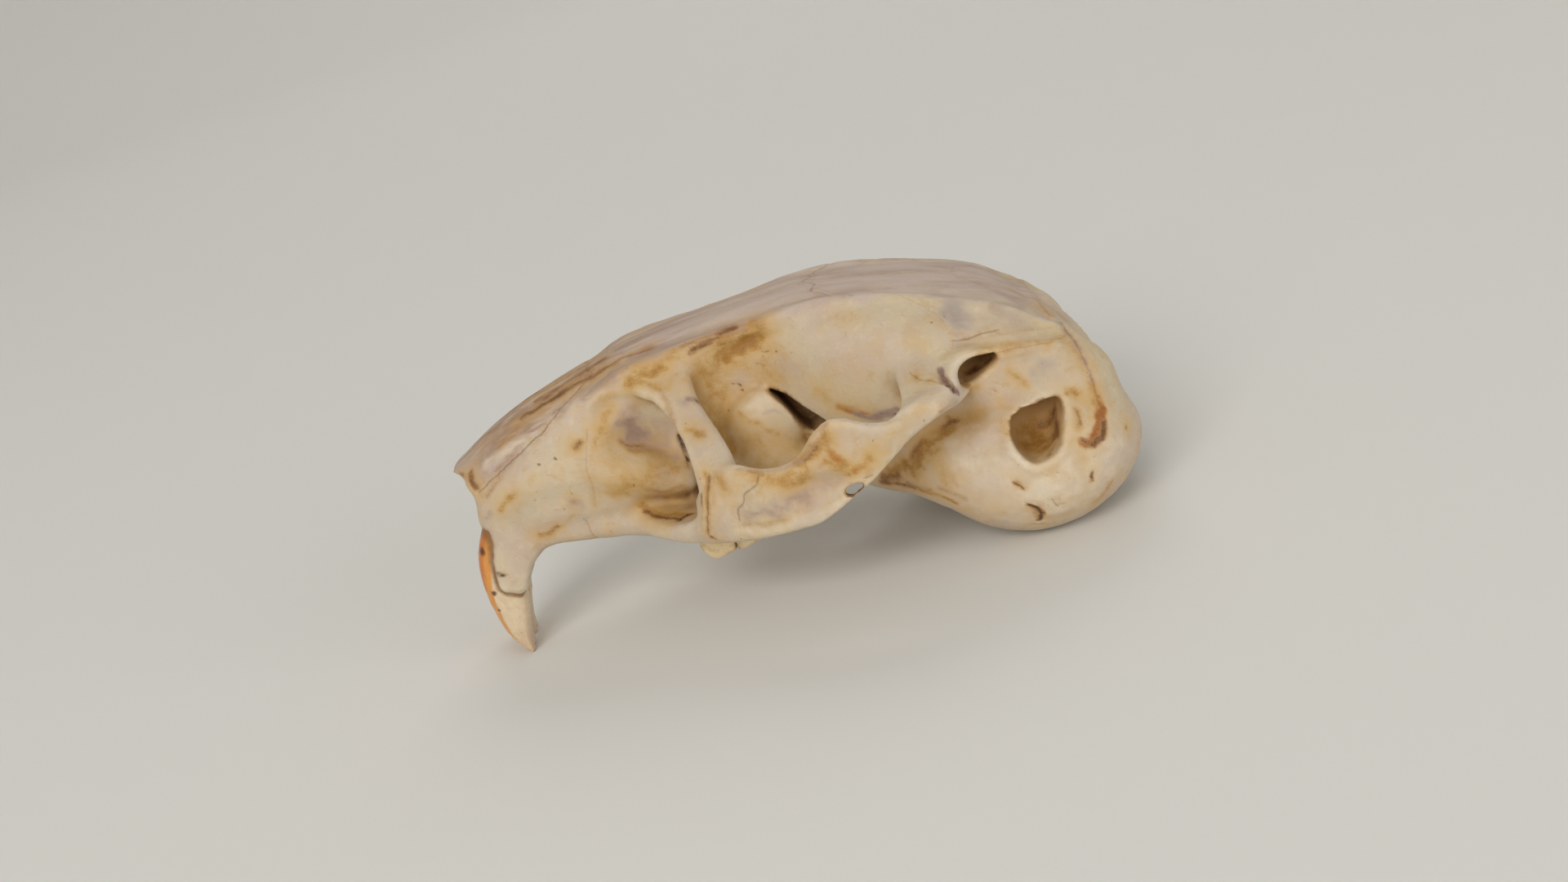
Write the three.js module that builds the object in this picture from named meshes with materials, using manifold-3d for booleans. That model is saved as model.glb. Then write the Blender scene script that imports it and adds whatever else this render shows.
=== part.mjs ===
// The skull of a tuco-tuco, a burrowing rodent, without its lower jaw, in millimetres.
// +X runs from the snout to the back of the head, -Y is the skull's left side and +Z is up.
// Z = 0 is the table under it: it rests on the tips of its incisors and on its two ear capsules.
// Left-hand forms are given once, with Y below zero, and mirrored.

import * as THREE from 'three';
import { mergeVertices } from 'three/addons/utils/BufferGeometryUtils.js';
import Module from 'manifold-3d';

const wasm = await Module();
wasm.setup();

// Driving dimensions

// Stations along the skull are counted from the third cheek tooth, 0.5 mm in front of its middle.
// The middle of the skull's length lies this far behind that place, and becomes X = 0.
const MIDDLE_X = 2.875;

// Room round a tooth in its socket
const TOOTH_GAP = 0.3;

// Snout, forehead and the narrow waist between the eye sockets.
// Each station: x, top, bottom, half width, height of the widest place, squareness above and below
const SNOUT = [
  [-19.2, 13.2, 12.1, 1.3, 12.6, 2.0, 2.0],
  [-18.4, 13.75, 9.6, 2.7, 11.9, 2.3, 2.4],
  [-17.0, 14.45, 7.9, 3.6, 11.4, 2.5, 2.4],
  [-15.0, 15.3, 7.4, 4.3, 11.0, 2.6, 2.5],
  [-12.0, 16.4, 7.1, 4.8, 11.2, 2.6, 2.5],
  [-9.0, 17.2, 6.5, 4.9, 11.8, 2.6, 2.5],
  [-6.0, 17.7, 5.9, 4.7, 12.5, 2.6, 2.5],
  [-3.0, 18.0, 5.5, 4.2, 13.5, 3.0, 2.4],
  [0.0, 18.2, 5.8, 3.95, 14.5, 3.6, 2.4],
  [3.0, 18.45, 6.6, 4.1, 14.5, 3.8, 2.3],
  [6.0, 18.55, 7.5, 4.8, 14.0, 3.4, 2.3],
];

const BRAINCASE = [
  [1.5, 17.4, 10.0, 2.2, 14.5, 2.4, 2.3],
  [3.5, 18.4, 8.6, 4.2, 14.0, 3.0, 2.3],
  [6.5, 18.55, 7.4, 6.2, 13.3, 3.0, 2.3],
  [9.5, 18.3, 6.6, 7.8, 12.6, 3.0, 2.3],
  [12.5, 17.6, 5.8, 8.7, 12.0, 2.8, 2.3],
  [15.5, 16.5, 5.0, 9.1, 11.0, 2.8, 2.3],
  [18.5, 14.95, 4.2, 9.2, 9.8, 2.9, 2.3],
  [20.8, 12.95, 3.4, 8.9, 8.6, 3.0, 2.3],
  [22.4, 10.9, 2.8, 8.1, 7.2, 2.6, 2.3],
  [24.0, 8.3, 2.6, 6.5, 5.8, 2.2, 2.2],
  [24.8, 6.0, 2.6, 4.0, 4.3, 2.0, 2.0],
];

// Ear capsule, a blown-up bubble of bone. Each station: x, y, z, half height, half thickness
const EAR_CAPSULE = [
  [7.4, -3.4, 7.1, 0.5, 0.5],
  [8.8, -4.0, 6.9, 1.4, 1.4],
  [10.8, -5.0, 6.6, 2.3, 2.3],
  [13.0, -6.05, 6.1, 3.4, 3.4],
  [15.0, -6.85, 5.4, 4.35, 4.35],
  [17.2, -7.3, 4.74, 4.92, 4.9],
  [19.4, -7.3, 4.83, 4.75, 4.75],
  [21.3, -7.1, 5.1, 4.2, 4.2],
  [22.6, -6.9, 5.1, 3.35, 3.35],
  [23.6, -6.7, 5.05, 2.0, 2.0],
];

// Bars of bone on the left side. Each station: x, y, z, half height, half thickness
const TOOTH_BONE = [
  [-5.6, -2.9, 6.4, 1.0, 1.2],
  [-4.2, -3.2, 6.1, 1.6, 1.7],
  [-1.5, -3.5, 6.4, 2.0, 1.8],
  [1.0, -3.8, 7.2, 2.0, 1.7],
  [3.4, -4.0, 8.2, 1.6, 1.4],
];
const PTERYGOID_PLATE = [
  [2.6, -2.3, 6.9, 1.2, 0.5],
  [5.0, -2.3, 6.5, 1.5, 0.4],
  [7.0, -2.8, 6.4, 1.3, 0.45],
  [8.8, -3.4, 6.4, 1.0, 0.5],
];
const INCISOR_CAPSULE = [
  [-17.3, -1.7, 8.6, 1.4, 1.4],
  [-16.8, -2.0, 10.2, 1.8, 1.8],
  [-14.6, -2.9, 12.0, 2.0, 2.0],
  [-11.0, -3.4, 12.2, 1.9, 1.9],
  [-8.0, -3.9, 11.0, 1.6, 1.6],
  [-5.0, -4.0, 9.4, 1.4, 1.4],
];
const INCISOR_SOCKET = [
  [-14.5, -1.8, 9.4, 2.0, 1.8],
  [-16.6, -1.75, 7.9, 1.8, 1.7],
  [-17.4, -1.75, 6.4, 1.3, 1.7],
  [-17.65, -1.75, 5.5, 1.05, 1.65],
];
const CHEEK_ARCH = [
  [-3.6, -9.6, 8.6, 1.5, 0.9],
  [-1.8, -11.0, 9.0, 2.0, 0.9],
  [0.6, -12.4, 9.0, 2.1, 0.75],
  [3.0, -13.4, 9.05, 2.2, 0.65],
  [4.6, -13.8, 10.0, 2.5, 0.6],
  [5.7, -13.95, 10.7, 2.6, 0.55],
  [7.4, -13.9, 10.9, 1.55, 0.55],
  [9.5, -13.4, 11.3, 0.85, 0.6],
  [11.2, -12.8, 11.6, 0.6, 0.65],
  [12.8, -11.8, 11.6, 0.5, 0.7],
  [14.2, -10.4, 11.6, 0.6, 0.8],
];
const FRONT_BAR = [
  [-4.4, -3.8, 16.0, 2.0, 0.9],
  [-3.6, -5.6, 14.8, 1.6, 0.8],
  [-2.75, -7.6, 13.4, 1.3, 0.75],
  [-2.2, -9.6, 12.1, 1.25, 0.75],
  [-2.0, -11.0, 10.6, 1.45, 0.8],
  [-2.1, -11.2, 9.2, 1.7, 0.85],
];
const LOWER_ROOT = [
  [-6.0, -4.0, 7.2, 0.8, 1.6],
  [-5.1, -6.2, 7.2, 0.75, 1.4],
  [-4.2, -8.3, 7.4, 0.95, 1.2],
  [-3.5, -9.9, 8.0, 1.25, 1.0],
];
const REAR_SHELF = [
  [12.6, -7.0, 13.2, 2.2, 0.8],
  [12.4, -9.4, 12.5, 2.0, 0.65],
  [11.8, -11.6, 11.95, 1.8, 0.55],
  [11.0, -12.9, 11.65, 1.3, 0.45],
];

// Round rods of bone on the left side. Each station: x, y, z, radius
const EAR_RIDGE = [
  [13.2, -9.9, 12.3, 0.5],
  [14.2, -9.5, 13.2, 0.5],
  [16.7, -8.9, 12.9, 0.45],
  [18.9, -8.7, 12.6, 0.4],
  [20.6, -8.6, 12.2, 0.35],
];
const NECK_CREST = [
  [20.8, 0.3, 12.8, 0.4],
  [20.9, -3.0, 12.75, 0.4],
  [21.4, -5.9, 12.3, 0.4],
  [22.1, -7.7, 10.9, 0.4],
  [22.3, -8.8, 9.2, 0.35],
  [22.4, -9.2, 7.2, 0.35],
  [21.9, -9.6, 5.9, 0.3],
];
const NECK_PROCESS = [
  [22.9, -5.2, 4.2, 1.0],
  [23.0, -5.6, 1.9, 0.5],
];

// Eggs of bone on the left side: centre, half sizes
const MASTOID = { centre: [20.0, -7.4, 8.4], half: [3.6, 3.0, 3.9] };
const TOOTH_ROOT_DOME = { centre: [1.5, -3.6, 11.0], half: [2.7, 1.8, 2.7] };
const CONDYLE = { centre: [24.3, -2.9, 4.2], half: [1.2, 1.3, 1.8] };

// Hollows on the left side: centre, half sizes and turn about Y in degrees
const SNOUT_HOLLOW = { centre: [-6.2, -7.9, 12.9], half: [3.5, 4.4, 3.4] };
const EYE_SOCKET = { centre: [1.5, -9.6, 15.0], half: [4.6, 5.6, 3.6] };
const EAR_OPENING = { centre: [17.95, -10.4, 7.5], half: [1.7, 3.6, 2.2], turn: 20 };
const EAR_WINDOW = { centre: [15.3, -9.6, 12.3], half: [1.35, 1.7, 0.62], turn: -15 };
const ARCH_HOLE = { centre: [5.6, -14.0, 8.7], half: [0.55, 1.6, 0.35], turn: -25 };
const ARCH_DISH = { centre: [1.9, -14.9, 9.0], half: [4.2, 1.5, 1.5], turn: -8 };

// Hollows on the middle plane
const NECK_HOLE = { centre: [25.4, 0, 5.6], half: [3.4, 2.5, 2.3] };
const NOSE_OPENING = [
  [-20.2, 0, 11.2, 1.75],
  [-17.0, 0, 11.6, 1.7],
  [-14.0, 0, 12.4, 1.1],
];
const PALATE_NOTCH = [
  [2.4, 0, 7.2, 0.9],
  [5.0, 0, 7.0, 1.4],
  [8.2, 0, 6.2, 1.6],
];
const EYE_FISSURE = [
  [2.7, -4.8, 12.9, 0.25],
  [3.8, -4.9, 11.6, 0.5],
  [4.9, -5.1, 10.3, 0.8],
  [5.1, -3.6, 10.2, 0.8],
];

// Left incisor: x, y, z, half depth from front to back, half width
const INCISOR = [
  [-16.9, -1.65, 9.7, 0.9, 1.1],
  [-17.7, -1.65, 8.6, 1.15, 1.4],
  [-18.35, -1.65, 7.0, 1.2, 1.4],
  [-18.55, -1.65, 5.0, 1.2, 1.4],
  [-18.5, -1.65, 3.5, 1.15, 1.38],
  [-18.45, -1.63, 2.2, 0.88, 1.35],
  [-18.25, -1.6, 1.0, 0.5, 1.3],
  [-18.05, -1.6, 0.0, 0.2, 1.25],
];

// Left cheek teeth, front to back: x, y, height of the chewing face, half length, half width
const CHEEK_TEETH = [
  [-3.85, -3.25, 3.5, 1.1, 1.35],
  [-1.55, -3.5, 3.6, 0.95, 1.3],
  [0.5, -3.75, 4.1, 0.85, 1.15],
  [2.2, -3.95, 5.1, 0.6, 0.8],
];
const TOOTH_HEIGHT = 3.2;

// How far its outline bends in on the cheek side, as a share of the half width, and how square its ends are
const TOOTH_DENT = 0.28;
const TOOTH_SQUARENESS = 2.3;
const TOOTH_SIDES = 12;

// How far it leans outwards from the palate, in degrees
const TOOTH_LEAN = 8;

// A bar's rounded end: how far it stands out past the last station and how wide it is there, as shares
const END_REACH = 0.8;
const END_SIZE = 0.6;

const X_AXIS = new THREE.Vector3(1, 0, 0);
const Y_AXIS = new THREE.Vector3(0, 1, 0);
const Z_AXIS = new THREE.Vector3(0, 0, 1);
const FRONT_BAR_UP = new THREE.Vector3(1, 0, 0.2);

// Shapes

// A closed geometry as a solid that can be joined and cut
function solid(geometry) {
  geometry.deleteAttribute('normal');
  geometry.deleteAttribute('uv');
  const merged = mergeVertices(geometry);
  const vertProperties = new Float32Array(merged.attributes.position.array);
  const triVerts = new Uint32Array(merged.index.array);
  return new wasm.Manifold(new wasm.Mesh({ numProp: 3, vertProperties, triVerts }));
}

// The same solid on the skull's other side, with its faces turned to point outwards again
function mirrored(body) {
  const { vertProperties, triVerts } = body.getMesh();
  const places = vertProperties.map((value, k) => (k % 3 === 1 ? -value : value));
  const corners = triVerts.map((_, k) => triVerts[k - (k % 3) + 2 - (k % 3)]);
  return new wasm.Manifold(new wasm.Mesh({ numProp: 3, vertProperties: places, triVerts: corners }));
}

function bothSides(body) {
  return body.add(mirrored(body));
}

// Rows of numbers drawn out to more rows on a smooth curve through them
function smoothRows(rows, count) {
  const last = rows.length - 1;
  return Array.from({ length: count }, (_, k) => {
    const place = (k / (count - 1)) * last;
    const i = Math.min(Math.floor(place), last - 1);
    const t = place - i;
    const [before, from, to, after] = [i - 1, i, i + 1, i + 2].map((n) => {
      return rows[THREE.MathUtils.clamp(n, 0, last)];
    });
    return from.map((value, n) => {
      const bend = 2 * before[n] - 5 * value + 4 * to[n] - after[n];
      const twist = 3 * value - before[n] - 3 * to[n] + after[n];
      return value + 0.5 * ((to[n] - before[n]) * t + bend * t ** 2 + twist * t ** 3);
    });
  });
}

// A power of a sine or cosine that keeps its sign, which makes a circle squarer
function squared(value, squareness) {
  return Math.sign(value) * Math.abs(value) ** (2 / squareness);
}

// A closed body over rings that follow each other, from a cylinder whose points are moved.
// Each ring has a centre and the functions that give its reach sideways and upwards at an angle.
function skin(rings, sides) {
  const geometry = new THREE.CylinderGeometry(1, 1, 1, sides, rings.length - 1);
  const points = geometry.attributes.position;
  for (let k = 0; k < points.count; k += 1) {
    const ring = rings[Math.round((points.getY(k) + 0.5) * (rings.length - 1))];
    const sideways = points.getX(k);
    const upwards = points.getZ(k);
    const place = ring.centre.clone();
    if (Math.hypot(sideways, upwards) > 0.5) {
      const angle = Math.atan2(upwards, sideways);
      place.addScaledVector(ring.side, ring.across(angle));
      place.addScaledVector(ring.up, ring.above(angle));
    }
    points.setXYZ(k, place.x, place.y, place.z);
  }
  return solid(geometry);
}

// A body across both sides of the skull, from stations along X
function hull(rows, count, sides) {
  const rings = smoothRows(rows, count).map(([x, top, bottom, half, widest, squareAbove, squareBelow]) => {
    const squareness = (angle) => (Math.sin(angle) > 0 ? squareAbove : squareBelow);
    const reach = (angle) => (Math.sin(angle) > 0 ? top - widest : widest - bottom);
    return {
      centre: new THREE.Vector3(x, 0, widest),
      side: new THREE.Vector3(0, -1, 0),
      up: Z_AXIS,
      across: (angle) => half * squared(Math.cos(angle), squareness(angle)),
      above: (angle) => reach(angle) * squared(Math.sin(angle), squareness(angle)),
    };
  });
  return skin(rings, sides);
}

// A bar along a smooth path, with rounded ends
function bar(rows, { up = Z_AXIS, count = 12, sides = 10, squareness = 2.5 } = {}) {
  const stations = smoothRows(rows, count).map(([x, y, z, height, thickness]) => {
    return { centre: new THREE.Vector3(x, y, z), height, thickness };
  });
  const last = count - 1;
  stations.forEach((station, k) => {
    const ahead = stations[Math.min(k + 1, last)].centre;
    const behind = stations[Math.max(k - 1, 0)].centre;
    station.path = ahead.clone().sub(behind).normalize();
  });
  const rounded = (station, way) => {
    const reach = way * END_REACH * Math.min(station.height, station.thickness);
    return {
      centre: station.centre.clone().addScaledVector(station.path, reach),
      height: END_SIZE * station.height,
      thickness: END_SIZE * station.thickness,
      path: station.path,
    };
  };
  const all = [rounded(stations[0], -1), ...stations, rounded(stations[last], 1)];
  const rings = all.map(({ centre, height, thickness, path }) => {
    const side = path.clone().cross(up).normalize();
    return {
      centre,
      side,
      up: side.clone().cross(path),
      across: (angle) => thickness * squared(Math.cos(angle), squareness),
      above: (angle) => height * squared(Math.sin(angle), squareness),
    };
  });
  return skin(rings, sides);
}

// A round rod along a smooth path
function rod(rows, options = {}) {
  const roundRows = rows.map(([x, y, z, radius]) => [x, y, z, radius, radius]);
  return bar(roundRows, { squareness: 2, sides: 8, ...options });
}

function egg({ centre, half, turn = 0 }, sides = 16) {
  const geometry = new THREE.SphereGeometry(1, sides, Math.round(sides * 0.6));
  const spin = new THREE.Quaternion().setFromAxisAngle(Y_AXIS, THREE.MathUtils.degToRad(turn));
  const place = new THREE.Vector3(...centre);
  geometry.applyMatrix4(new THREE.Matrix4().compose(place, spin, new THREE.Vector3(...half)));
  return solid(geometry);
}

// A cheek tooth: a prism with a bean-shaped section, hollow on the cheek side, leaning outwards
function toothPrism([x, y, chewingHeight, halfLength, halfWidth], grown = 0) {
  const outline = new THREE.Shape();
  for (let k = 0; k < TOOTH_SIDES; k += 1) {
    const angle = (2 * Math.PI * k) / TOOTH_SIDES;
    const dent = TOOTH_DENT * Math.max(0, -Math.sin(angle)) ** 3;
    const along = (halfLength + grown) * squared(Math.cos(angle), TOOTH_SQUARENESS);
    const across = (halfWidth + grown) * (Math.sin(angle) + dent);
    if (k === 0) outline.moveTo(along, across);
    else outline.lineTo(along, across);
  }
  const extrusion = { depth: TOOTH_HEIGHT + grown, steps: 1, bevelEnabled: false };
  const geometry = new THREE.ExtrudeGeometry(outline, extrusion);
  geometry.rotateX(THREE.MathUtils.degToRad(TOOTH_LEAN));
  geometry.translate(x, y, chewingHeight);
  return solid(geometry);
}

// Pieces

function incisor(grown = 0) {
  const rows = INCISOR.map(([x, y, z, depth, width]) => [x, y, z, depth + grown, width + grown]);
  return bar(rows, { up: X_AXIS, count: 10, sides: 10, squareness: 3 });
}

// Everything under the table's surface, as far as the skull could reach
function underTable() {
  const geometry = new THREE.BoxGeometry(80, 60, 10);
  geometry.translate(0, 0, -5);
  return solid(geometry);
}

function cranium() {
  // The snout, the capsule that holds the brain behind it, and the bubbles round the ears
  let skull = hull(SNOUT, 11, 18);
  skull = skull.add(hull(BRAINCASE, 11, 20));
  skull = skull.add(bothSides(bar(EAR_CAPSULE, { count: 10, sides: 14, squareness: 2 })));
  skull = skull.add(bothSides(egg(MASTOID, 10)));
  skull = skull.add(bothSides(bar(TOOTH_BONE, { count: 6, sides: 8 })));

  // Muscle hollow on the snout and the eye socket, then what stands inside them
  skull = skull.subtract(bothSides(egg(SNOUT_HOLLOW, 12)));
  skull = skull.subtract(bothSides(egg(EYE_SOCKET, 12)));
  skull = skull.add(bothSides(egg(TOOTH_ROOT_DOME, 11)));
  skull = skull.add(bothSides(rod(INCISOR_CAPSULE, { count: 7, sides: 8 })));
  skull = skull.add(bothSides(bar(INCISOR_SOCKET, { up: X_AXIS, count: 4, sides: 10 })));
  skull = skull.subtract(rod(PALATE_NOTCH, { count: 5, sides: 8 }));

  // Cheek arch with its front bar, lower root and rear shelf
  skull = skull.add(bothSides(bar(CHEEK_ARCH, { count: 14, sides: 8 }).subtract(egg(ARCH_DISH, 10))));
  skull = skull.add(bothSides(bar(FRONT_BAR, { up: FRONT_BAR_UP, count: 7, sides: 8 })));
  skull = skull.add(bothSides(bar(LOWER_ROOT, { count: 4, sides: 8 })));
  skull = skull.add(bothSides(bar(REAR_SHELF, { up: X_AXIS, count: 4, sides: 8 })));

  // Crests and the joints with the neck and the throat
  skull = skull.add(bothSides(rod(EAR_RIDGE, { count: 5, sides: 5 })));
  skull = skull.add(bothSides(rod(NECK_CREST, { count: 8, sides: 5 })));
  skull = skull.add(bothSides(egg(CONDYLE, 10)));
  skull = skull.add(bothSides(rod(NECK_PROCESS, { count: 3, sides: 6 })));
  skull = skull.add(bothSides(bar(PTERYGOID_PLATE, { count: 4, sides: 6 })));

  // Openings
  skull = skull.subtract(egg(NECK_HOLE, 12));
  skull = skull.subtract(rod(NOSE_OPENING, { count: 4, sides: 10 }));
  for (const hollow of [EAR_OPENING, EAR_WINDOW, ARCH_HOLE]) {
    skull = skull.subtract(bothSides(egg(hollow, 10)));
  }
  skull = skull.subtract(bothSides(rod(EYE_FISSURE, { count: 5, sides: 6 })));

  // Tooth sockets, and the small flats that the ear capsules rest on
  skull = skull.subtract(bothSides(incisor(TOOTH_GAP)));
  for (const tooth of CHEEK_TEETH) {
    skull = skull.subtract(bothSides(toothPrism(tooth, TOOTH_GAP)));
  }
  return skull.subtract(underTable());
}

// Scene graph

const skullGroup = new THREE.Group();
skullGroup.position.x = -MIDDLE_X;

const BONE = { color: 0xd2bd97, roughness: 0.62, metalness: 0 };
const ENAMEL = { color: 0xdc9a4a, roughness: 0.3, metalness: 0 };
const TOOTH = { color: 0xd8b983, roughness: 0.4, metalness: 0 };

function addPiece(name, body, finish) {
  const { vertProperties, triVerts } = body.getMesh();
  const geometry = new THREE.BufferGeometry();
  geometry.setAttribute('position', new THREE.BufferAttribute(vertProperties, 3));
  geometry.setIndex(new THREE.BufferAttribute(triVerts, 1));
  const piece = new THREE.Mesh(geometry, new THREE.MeshStandardMaterial(finish));
  piece.name = name;
  skullGroup.add(piece);
}

addPiece('cranium', cranium(), BONE);

const leftIncisor = incisor().subtract(underTable());
addPiece('incisor_left', leftIncisor, ENAMEL);
addPiece('incisor_right', mirrored(leftIncisor), ENAMEL);

CHEEK_TEETH.forEach((tooth, k) => {
  const body = toothPrism(tooth);
  addPiece(`cheek_tooth_left_${k + 1}`, body, TOOTH);
  addPiece(`cheek_tooth_right_${k + 1}`, mirrored(body), TOOTH);
});

export default skullGroup;
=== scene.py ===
# %% [markdown]
# # A tuco-tuco skull, dressed for its portrait
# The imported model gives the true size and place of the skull: a cranium, two incisors and eight cheek teeth.
# Its solids are plain, so each is replaced here by a sculpted piece with the same place, and painted.
# Lengths are written in millimetres, as in the part's source, and turned into Blender's metres at the end.

import math

import bpy
import numpy as np
import openvdb
from mathutils import Matrix, Vector
from mathutils.bvhtree import BVHTree


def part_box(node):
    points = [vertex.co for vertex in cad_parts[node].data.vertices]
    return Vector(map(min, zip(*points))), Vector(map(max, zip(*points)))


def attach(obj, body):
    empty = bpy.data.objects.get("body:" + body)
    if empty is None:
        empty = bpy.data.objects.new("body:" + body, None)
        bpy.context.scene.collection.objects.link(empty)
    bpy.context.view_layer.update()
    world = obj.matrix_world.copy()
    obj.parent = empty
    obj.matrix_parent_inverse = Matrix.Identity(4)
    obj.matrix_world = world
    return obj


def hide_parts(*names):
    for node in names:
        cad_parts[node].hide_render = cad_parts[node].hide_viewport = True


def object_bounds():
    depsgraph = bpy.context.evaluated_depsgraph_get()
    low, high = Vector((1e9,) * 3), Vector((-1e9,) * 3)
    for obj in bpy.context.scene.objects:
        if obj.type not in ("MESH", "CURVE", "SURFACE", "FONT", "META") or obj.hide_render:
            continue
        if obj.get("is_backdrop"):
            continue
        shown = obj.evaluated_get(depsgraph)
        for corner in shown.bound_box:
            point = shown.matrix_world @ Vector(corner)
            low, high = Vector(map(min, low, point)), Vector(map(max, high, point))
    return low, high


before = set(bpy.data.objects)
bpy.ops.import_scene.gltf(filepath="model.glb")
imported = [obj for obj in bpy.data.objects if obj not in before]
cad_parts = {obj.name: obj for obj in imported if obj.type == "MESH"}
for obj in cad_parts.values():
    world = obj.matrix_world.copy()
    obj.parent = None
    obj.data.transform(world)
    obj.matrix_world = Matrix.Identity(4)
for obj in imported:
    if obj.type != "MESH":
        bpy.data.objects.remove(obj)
cad_low, cad_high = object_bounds()
print("nodes:", sorted(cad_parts))

# %% [markdown]
# ## Places
# Stations along the skull are counted from the third cheek tooth, half a millimetre in front of its middle.
# The frame knows where that tooth is, so it also gives the station of the frame's X = 0.
# -Y is the skull's left side, which faces the camera, and Z = 0 is the table.

# %% From millimetres on the skull to metres in the frame
METRES = 0.001
THIRD_TOOTH = 0.5

tooth_low, tooth_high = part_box("cheek_tooth_left_3")
MIDDLE_X = round(THIRD_TOOTH - 0.5 * (tooth_low[0] + tooth_high[0]) / METRES, 3)
print("the frame's X = 0 is at station", MIDDLE_X, "mm")


def to_frame(points):
    """Points in millimetres, counted along the skull, as points of the frame in metres."""
    return (np.asarray(points, float) - [MIDDLE_X, 0, 0]) * METRES


# %% [markdown]
# ## Sculpting with distances
# Bone has no corners: every form melts into its neighbour. Subdivision surfaces can do that, but each
# junction needs its own careful topology. Here each form is instead a rule that says how far any point is
# from its surface. Rules are joined with a rounded minimum and cut with a rounded maximum, which gives the
# soft fillets of real bone, and the surface where the distance is zero is turned into a mesh at the end.

# %% Smooth curves through rows of numbers
def smooth_curve(stations, values):
    """A function of the place along the stations that runs smoothly through the values."""
    stations = np.asarray(stations, float)
    values = np.asarray(values, float)
    gaps = np.diff(stations)
    steps = np.diff(values) / gaps
    slopes = np.empty_like(values)
    slopes[1:-1] = (steps[1:] * gaps[:-1] + steps[:-1] * gaps[1:]) / (stations[2:] - stations[:-2])
    slopes[0], slopes[-1] = steps[0], steps[-1]

    def value(place):
        place = np.clip(place, stations[0], stations[-1])
        k = np.clip(np.searchsorted(stations, place) - 1, 0, len(gaps) - 1)
        gap = gaps[k]
        t = (place - stations[k]) / gap
        start = (2 * t**3 - 3 * t**2 + 1) * values[k] + (t**3 - 2 * t**2 + t) * gap * slopes[k]
        end = (3 * t**2 - 2 * t**3) * values[k + 1] + (t**3 - t**2) * gap * slopes[k + 1]
        return start + end

    return value


def even_rows(rows, spacing):
    """More rows on a smooth path through the given ones, about one for each spacing."""
    rows = np.asarray(rows, float)
    lengths = np.r_[0, np.cumsum(np.linalg.norm(np.diff(rows[:, :3], axis=0), axis=1))]
    count = max(2, int(np.ceil(lengths[-1] / spacing)) + 1)
    places = np.linspace(0, lengths[-1], count)
    return np.stack([smooth_curve(lengths, column)(places) for column in rows.T], axis=1)


# %% Rounded joins and cuts
def joined(a, b, blend):
    """The smaller of two distances, rounded over the blend's width."""
    if blend <= 0:
        return np.minimum(a, b)
    share = np.clip(0.5 + 0.5 * (b - a) / blend, 0, 1)
    return b + (a - b) * share - blend * share * (1 - share)


def common(a, b, blend):
    return -joined(-a, -b, blend)


# %% Forms: each is a distance rule with the box that holds it
class Form:
    """A rule for the distance of any point to a surface, and the corners of the box that holds it."""

    def __init__(self, distance, low, high):
        self.distance = distance
        self.low = np.asarray(low, float)
        self.high = np.asarray(high, float)


def section_distance(sideways, upwards, half, height, squareness):
    """Distance to a rounded square section with these half sizes, about right near its edge."""
    share = (np.abs(sideways) / half) ** squareness + (np.abs(upwards) / height) ** squareness
    share = share ** (1 / squareness)
    radius = np.sqrt(sideways**2 + upwards**2)
    return np.where(share > 1e-3, radius * (1 - 1 / np.maximum(share, 1e-3)), -np.minimum(half, height))


def hull(rows):
    """A body across both sides of the skull.

    Its stations are: x, top, bottom, half width, height of the widest place, squareness above and below it.
    """
    rows = np.asarray(rows, float)
    columns = [smooth_curve(rows[:, 0], column) for column in rows.T[1:]]

    def distance(x, y, z):
        top, bottom, half, widest, above, below = [column(x) for column in columns]
        upwards = z - widest
        high = upwards > 0
        height = np.where(high, top - widest, widest - bottom)
        section = section_distance(y, upwards, half, height, np.where(high, above, below))
        return np.maximum(section, np.maximum(rows[0, 0] - x, x - rows[-1, 0]))

    wide = rows[:, 3].max()
    return Form(distance, (rows[0, 0], -wide, rows[:, 2].min()), (rows[-1, 0], wide, rows[:, 1].max()))


def egg(centre, half, turn=0.0, roll=0.0):
    """An egg with these half sizes, turned about Y and then about X, in degrees."""
    centre, half = np.asarray(centre, float), np.asarray(half, float)
    spin = np.array(Matrix.Rotation(math.radians(roll), 3, "X") @ Matrix.Rotation(math.radians(turn), 3, "Y"))

    def distance(x, y, z):
        offset = (x - centre[0], y - centre[1], z - centre[2])
        local = [sum(spin[i, k] * offset[i] for i in range(3)) for k in range(3)]
        share = np.sqrt(sum((local[k] / half[k]) ** 2 for k in range(3)))
        slope = np.sqrt(sum((local[k] / half[k] ** 2) ** 2 for k in range(3)))
        return np.where(slope > 1e-6, share * (share - 1) / np.maximum(slope, 1e-6), -half.min())

    reach = np.sqrt(((spin * half) ** 2).sum(axis=1))
    return Form(distance, centre - reach, centre + reach)


def rod(rows, spacing=0.6):
    """A round rod along a smooth path: x, y, z, radius."""
    rows = even_rows(rows, spacing)

    def distance(x, y, z):
        nearest = None
        for start, end in zip(rows[:-1], rows[1:]):
            way = end[:3] - start[:3]
            offset = (x - start[0], y - start[1], z - start[2])
            t = np.clip(sum(offset[k] * way[k] for k in range(3)) / (way @ way), 0, 1)
            away = np.sqrt(sum((offset[k] - t * way[k]) ** 2 for k in range(3)))
            away = away - (start[3] + t * (end[3] - start[3]))
            nearest = away if nearest is None else np.minimum(nearest, away)
        return nearest

    radius = rows[:, 3:4]
    return Form(distance, (rows[:, :3] - radius).min(axis=0), (rows[:, :3] + radius).max(axis=0))


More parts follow.
